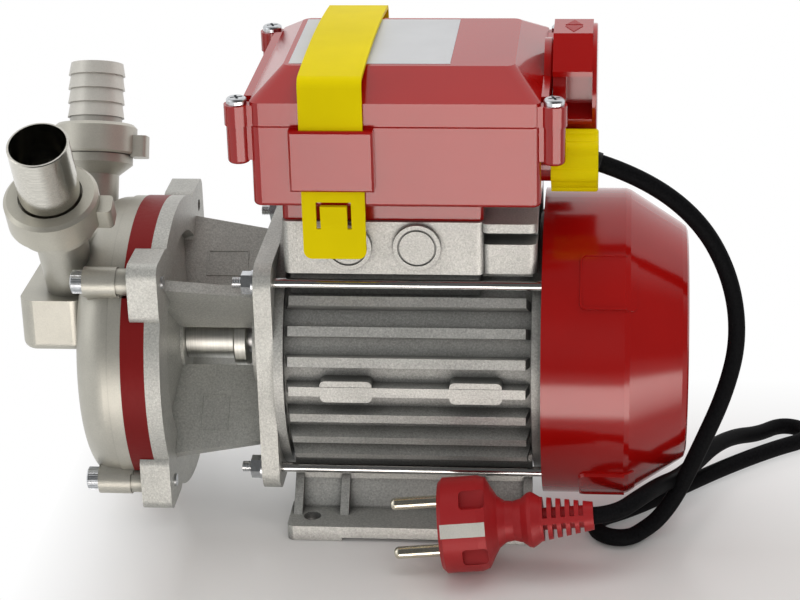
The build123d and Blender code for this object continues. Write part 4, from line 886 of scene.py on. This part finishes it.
@dataclass
class MainsLead:
    """Cord from the gland to the plug, and the plug."""

    finishes: Finishes
    radius: float = 3.4
    length: float = 0.5065
    route: Sequence[Point] = (
        (73.6, -28.5, 149.4),
        (90.0, -28.5, 143.8),
        (112.0, -27.8, 126.5),
        (124.5, -27.0, 103.0),
        (128.5, -28.5, 78.0),
        (123.8, -33.0, 56.0),
        (113.5, -39.0, 33.0),
        (105.5, -44.0, 16.5),
        (98.5, -47.5, 7.0),
        (92.0, -51.5, 3.5),
        (86.5, -58.0, 3.5),
        (78.0, -57.6, 3.5),
        (72.7, -50.9, 3.5),
        (74.0, -42.5, 3.5),
        (86.1, -34.6, 3.5),
        (104.0, -17.5, 3.5),
        (126.0, 5.0, 3.5),
        (148.0, 23.6, 3.5),
        (162.5, 32.6, 3.5),
        (161.5, 43.0, 3.5),
        (151.3, 46.4, 3.5),
        (141.5, 35.0, 4.5),
        (130.5, 21.5, 9.8),
        (121.5, 5.0, 13.6),
        (114.0, -12.0, 14.4),
        (106.5, -30.0, 16.5),
        (99.0, -51.0, 24.0),
        (91.0, -68.5, 27.5),
        (81.134, -78.329, 24.847),
        (72.767, -78.476, 24.115),
    )
    pieces: dict[str, str] = field(
        default_factory=lambda: {
            "power_cord": "cord_jacket",
            "plug_body": "plug_red",
            "plug_pins": "plug_nickel",
            "plug_earth_clips": "nickel_painted_brighter",
        }
    )

    def build(self, nodes: dict[str, bpy.types.Object]) -> None:
        """Dress the plug and lay the cord."""
        dress(nodes, self.pieces, self.finishes)
        curve = bpy.data.curves.new("mains_cord", "CURVE")
        curve.dimensions = "3D"
        curve.resolution_u = 10
        curve.bevel_depth = self.radius * MM
        curve.bevel_resolution = 5
        curve.use_fill_caps = True
        spline = curve.splines.new("NURBS")
        spline.points.add(len(self.route) - 1)
        for point, place in zip(spline.points, self.route):
            point.co = (place[0] * MM, place[1] * MM, place[2] * MM, 1.0)
        spline.order_u = 3
        spline.use_endpoint_u = True
        curve.materials.append(self.finishes["cord_jacket"])
        cord = bpy.data.objects.new("mains_cord", curve)
        bpy.context.scene.collection.objects.link(cord)
        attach(cord, Body.PUMP.value)
        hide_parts("power_cord")
        log.info("cord laid from gland to plug")


def dress(
    nodes: dict[str, bpy.types.Object], finishes_by_node: dict[str, str], finishes: Finishes
) -> None:
    """Give CAD nodes their finishes.

    Args:
        nodes: the frame's nodes by name.
        finishes_by_node: node name to finish name.
        finishes: the finishes.
    """
    for name, finish in finishes_by_node.items():
        node = nodes[name]
        for slot in node.material_slots:
            slot.material = finishes[finish]
        log.info("%s dressed in %s", name, finish)


@dataclass
class Studio:
    """Pale floor, white surroundings, soft lamps and the camera."""

    floor_half: float = 4.0
    floor_z: float = -0.0002
    fade_back: tuple[float, float] = (-0.06, 0.10)
    fade_left: tuple[float, float] = (-0.085, -0.150)
    lens: float = 104.93
    place: Point = (0.0814, -0.8716, 0.4489)
    yaw: float = -5.82
    pitch: float = 22.86
    roll: float = -1.56
    glint: float = 5.0

    def build(self) -> None:
        """Build floor, world, lamps and camera."""
        self.camera()
        self.floor()
        self.world()
        self.lamp(
            "overhead_softbox", (0.10, 0.15, 1.30), (0.0, 0.0, 0.05), (1.4, 1.0), 5.6,
            mirrored=False
        )
        self.lamp("left_softbox", (-1.1, -0.35, 0.6), (-0.05, 0.0, 0.08), (0.5, 0.8), 0.8)
        self.lamp(
            "front_softbox", (0.04, -1.2, 0.55), (0.04, 0.0, 0.06), (1.2, 0.6), 3.2, mirrored=False
        )

    def camera(self) -> None:
        """Camera at the photograph's viewpoint."""
        yaw, pitch, roll = (math.radians(angle) for angle in (self.yaw, self.pitch, self.roll))
        forward = Vector(
            (math.sin(yaw) * math.cos(pitch), math.cos(yaw) * math.cos(pitch), -math.sin(pitch))
        )
        level = Vector((math.cos(yaw), -math.sin(yaw), 0.0))
        rise = level.cross(forward)
        right = level * math.cos(roll) + rise * math.sin(roll)
        up = rise * math.cos(roll) - level * math.sin(roll)
        turn = Matrix((right, up, -forward)).transposed().to_4x4()
        data = bpy.data.cameras.new("view")
        data.lens = self.lens
        data.sensor_width = 36.0
        data.clip_start = 0.01
        camera = bpy.data.objects.new("view", data)
        camera.matrix_world = Matrix.Translation(self.place) @ turn
        bpy.context.scene.collection.objects.link(camera)
        bpy.context.scene.camera = camera

    def floor(self) -> None:
        """Glossy white table that keeps the object's shadow."""
        work = bmesh.new()
        half = self.floor_half
        corners = [
            work.verts.new((x, y, self.floor_z)) for x,
            y in ((-half, -half), (half, -half), (half, half), (-half, half))
        ]
        work.faces.new(corners)
        mesh = bpy.data.meshes.new("table")
        work.to_mesh(mesh)
        work.free()
        table = bpy.data.objects.new("table", mesh)
        bpy.context.scene.collection.objects.link(table)
        material, graph, shader = new_material("table_laminate")
        shader.inputs["Base Color"].default_value = (0.80, 0.78, 0.76, 1.0)
        shader.inputs["Roughness"].default_value = 0.28
        place = graph.node("ShaderNodeTexCoord").outputs["Object"]
        grain = graph.noise(place, 220.0, 3.0)
        bump = graph.node("ShaderNodeBump", {"Strength": 0.04, "Distance": 0.0003})
        graph.link(grain.outputs["Fac"], bump.inputs["Height"])
        graph.link(bump.outputs["Normal"], shader.inputs["Normal"])
        apart = graph.node("ShaderNodeSeparateXYZ")
        graph.link(place, apart.inputs["Vector"])
        near, far = self.fade_back
        back = graph.node("ShaderNodeMapRange", {"From Min": near, "From Max": far})
        graph.link(apart.outputs["Y"], back.inputs["Value"])
        near, far = self.fade_left
        left = graph.node("ShaderNodeMapRange", {"From Min": near, "From Max": far})
        graph.link(apart.outputs["X"], left.inputs["Value"])
        fade = graph.node("ShaderNodeMath", operation="MAXIMUM")
        graph.link(back.outputs["Result"], fade.inputs[0])
        graph.link(left.outputs["Result"], fade.inputs[1])
        glow = graph.node("ShaderNodeEmission", {"Color": (1.0, 1.0, 1.0, 1.0), "Strength": 1.0})
        rays = graph.node("ShaderNodeLightPath")
        seen = graph.node("ShaderNodeMath", operation="MAXIMUM")
        graph.link(rays.outputs["Is Camera Ray"], seen.inputs[0])
        graph.link(rays.outputs["Is Glossy Ray"], seen.inputs[1])
        amount = graph.node("ShaderNodeMath", operation="MULTIPLY")
        graph.link(seen.outputs[0], amount.inputs[0])
        graph.link(fade.outputs[0], amount.inputs[1])
        mix = graph.node("ShaderNodeMixShader")
        graph.link(amount.outputs[0], mix.inputs["Fac"])
        graph.link(shader.outputs["BSDF"], mix.inputs[1])
        graph.link(glow.outputs["Emission"], mix.inputs[2])
        both = graph.node("ShaderNodeAddShader")
        graph.link(mix.outputs["Shader"], both.inputs[0])
        graph.link(self.window_glint(graph, rays), both.inputs[1])
        output = next(node for node in material.node_tree.nodes if node.type == "OUTPUT_MATERIAL")
        graph.link(both.outputs["Shader"], output.inputs["Surface"])
        table.data.materials.append(material)

    def window_glint(self, graph: Graph, rays: bpy.types.Node) -> bpy.types.NodeSocket:
        """Mirror image of a low window in the table, which only reflections see.

        Args:
            graph: the table's graph.
            rays: its light path node.

        Returns:
            The emission's output.
        """
        view = graph.node("ShaderNodeNewGeometry")
        apart = graph.node("ShaderNodeSeparateXYZ")
        graph.link(view.outputs["Incoming"], apart.inputs["Vector"])
        bands = (("Z", 0.16, 0.21), ("Z", 0.62, 0.56), ("Y", 0.25, 0.45), ("X", 0.20, 0.15))
        strength = rays.outputs["Is Glossy Ray"]
        for axis, low, high in bands:
            band = graph.node("ShaderNodeMapRange", {"From Min": low, "From Max": high})
            graph.link(apart.outputs[axis], band.inputs["Value"])
            product = graph.node("ShaderNodeMath", operation="MULTIPLY")
            graph.link(strength, product.inputs[0])
            graph.link(band.outputs["Result"], product.inputs[1])
            strength = product.outputs[0]
        power = graph.node("ShaderNodeMath", {1: self.glint}, operation="MULTIPLY")
        graph.link(strength, power.inputs[0])
        glow = graph.node("ShaderNodeEmission", {"Color": (1.0, 0.93, 0.88, 1.0)})
        graph.link(power.outputs[0], glow.inputs["Strength"])
        return glow.outputs["Emission"]

    def world(self) -> None:
        """White to the camera and in reflections from behind, softer as a light."""
        world = bpy.data.worlds.new("studio")
        world.use_nodes = True
        bpy.context.scene.world = world
        graph = Graph(world.node_tree)
        world.node_tree.nodes.clear()
        rays = graph.node("ShaderNodeLightPath")
        place = graph.node("ShaderNodeTexCoord").outputs["Object"]
        apart = graph.node("ShaderNodeSeparateXYZ")
        graph.link(place, apart.inputs["Vector"])
        side = graph.node(
            "ShaderNodeMapRange",
            {"From Min": -0.05, "From Max": 0.35, "To Min": 0.10, "To Max": 1.0}
        )
        graph.link(apart.outputs["Y"], side.inputs["Value"])
        left = graph.node(
            "ShaderNodeMapRange",
            {"From Min": -0.25, "From Max": -0.70, "To Min": 0.0, "To Max": 1.0}
        )
        graph.link(apart.outputs["X"], left.inputs["Value"])
        around = graph.node("ShaderNodeMath", operation="MAXIMUM")
        graph.link(side.outputs["Result"], around.inputs[0])
        graph.link(left.outputs["Result"], around.inputs[1])
        glossy = graph.node("ShaderNodeMix", {"A": 0.52})
        graph.link(rays.outputs["Is Glossy Ray"], glossy.inputs["Factor"])
        graph.link(around.outputs[0], glossy.inputs["B"])
        seen = graph.node("ShaderNodeMath", operation="MAXIMUM")
        graph.link(glossy.outputs["Result"], seen.inputs[0])
        graph.link(rays.outputs["Is Camera Ray"], seen.inputs[1])
        back = graph.node("ShaderNodeBackground", {"Color": (1.0, 1.0, 1.0, 1.0)})
        graph.link(seen.outputs[0], back.inputs["Strength"])
        output = graph.node("ShaderNodeOutputWorld")
        graph.link(back.outputs["Background"], output.inputs["Surface"])

    def lamp(
        self, name: str, place: Point, target: Point, size: tuple[
            float, float
        ], power: float, mirrored: bool = True
    ) -> None:
        """Add one rectangular soft lamp.

        Args:
            name: name of the lamp.
            place: its centre, in metres.
            target: point it faces.
            size: width and height, in metres.
            power: watts.
            mirrored: whether glossy surfaces show it.
        """
        data = bpy.data.lights.new(name, "AREA")
        data.shape = "RECTANGLE"
        data.size, data.size_y = size
        data.energy = power
        lamp = bpy.data.objects.new(name, data)
        lamp.location = place
        lamp.visible_glossy = mirrored
        aim = Vector(target) - Vector(place)
        lamp.rotation_euler = aim.to_track_quat("-Z", "Y").to_euler()
        bpy.context.scene.collection.objects.link(lamp)


def main() -> None:
    """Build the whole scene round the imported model."""
    logging.basicConfig(level=logging.INFO, format="%(message)s")
    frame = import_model()
    bpy.context.scene.view_settings.view_transform = "Standard"
    nodes = frame["nodes"]
    finishes = Finishes()
    Studio().build()
    MainsLead(finishes).build(nodes)
    repeats = Repeats()
    PumpHead(finishes, repeats).build(nodes)
    Motor(finishes, repeats).build(nodes)
    TerminalBox(finishes).build(nodes)


if __name__ == "__main__":
    main()
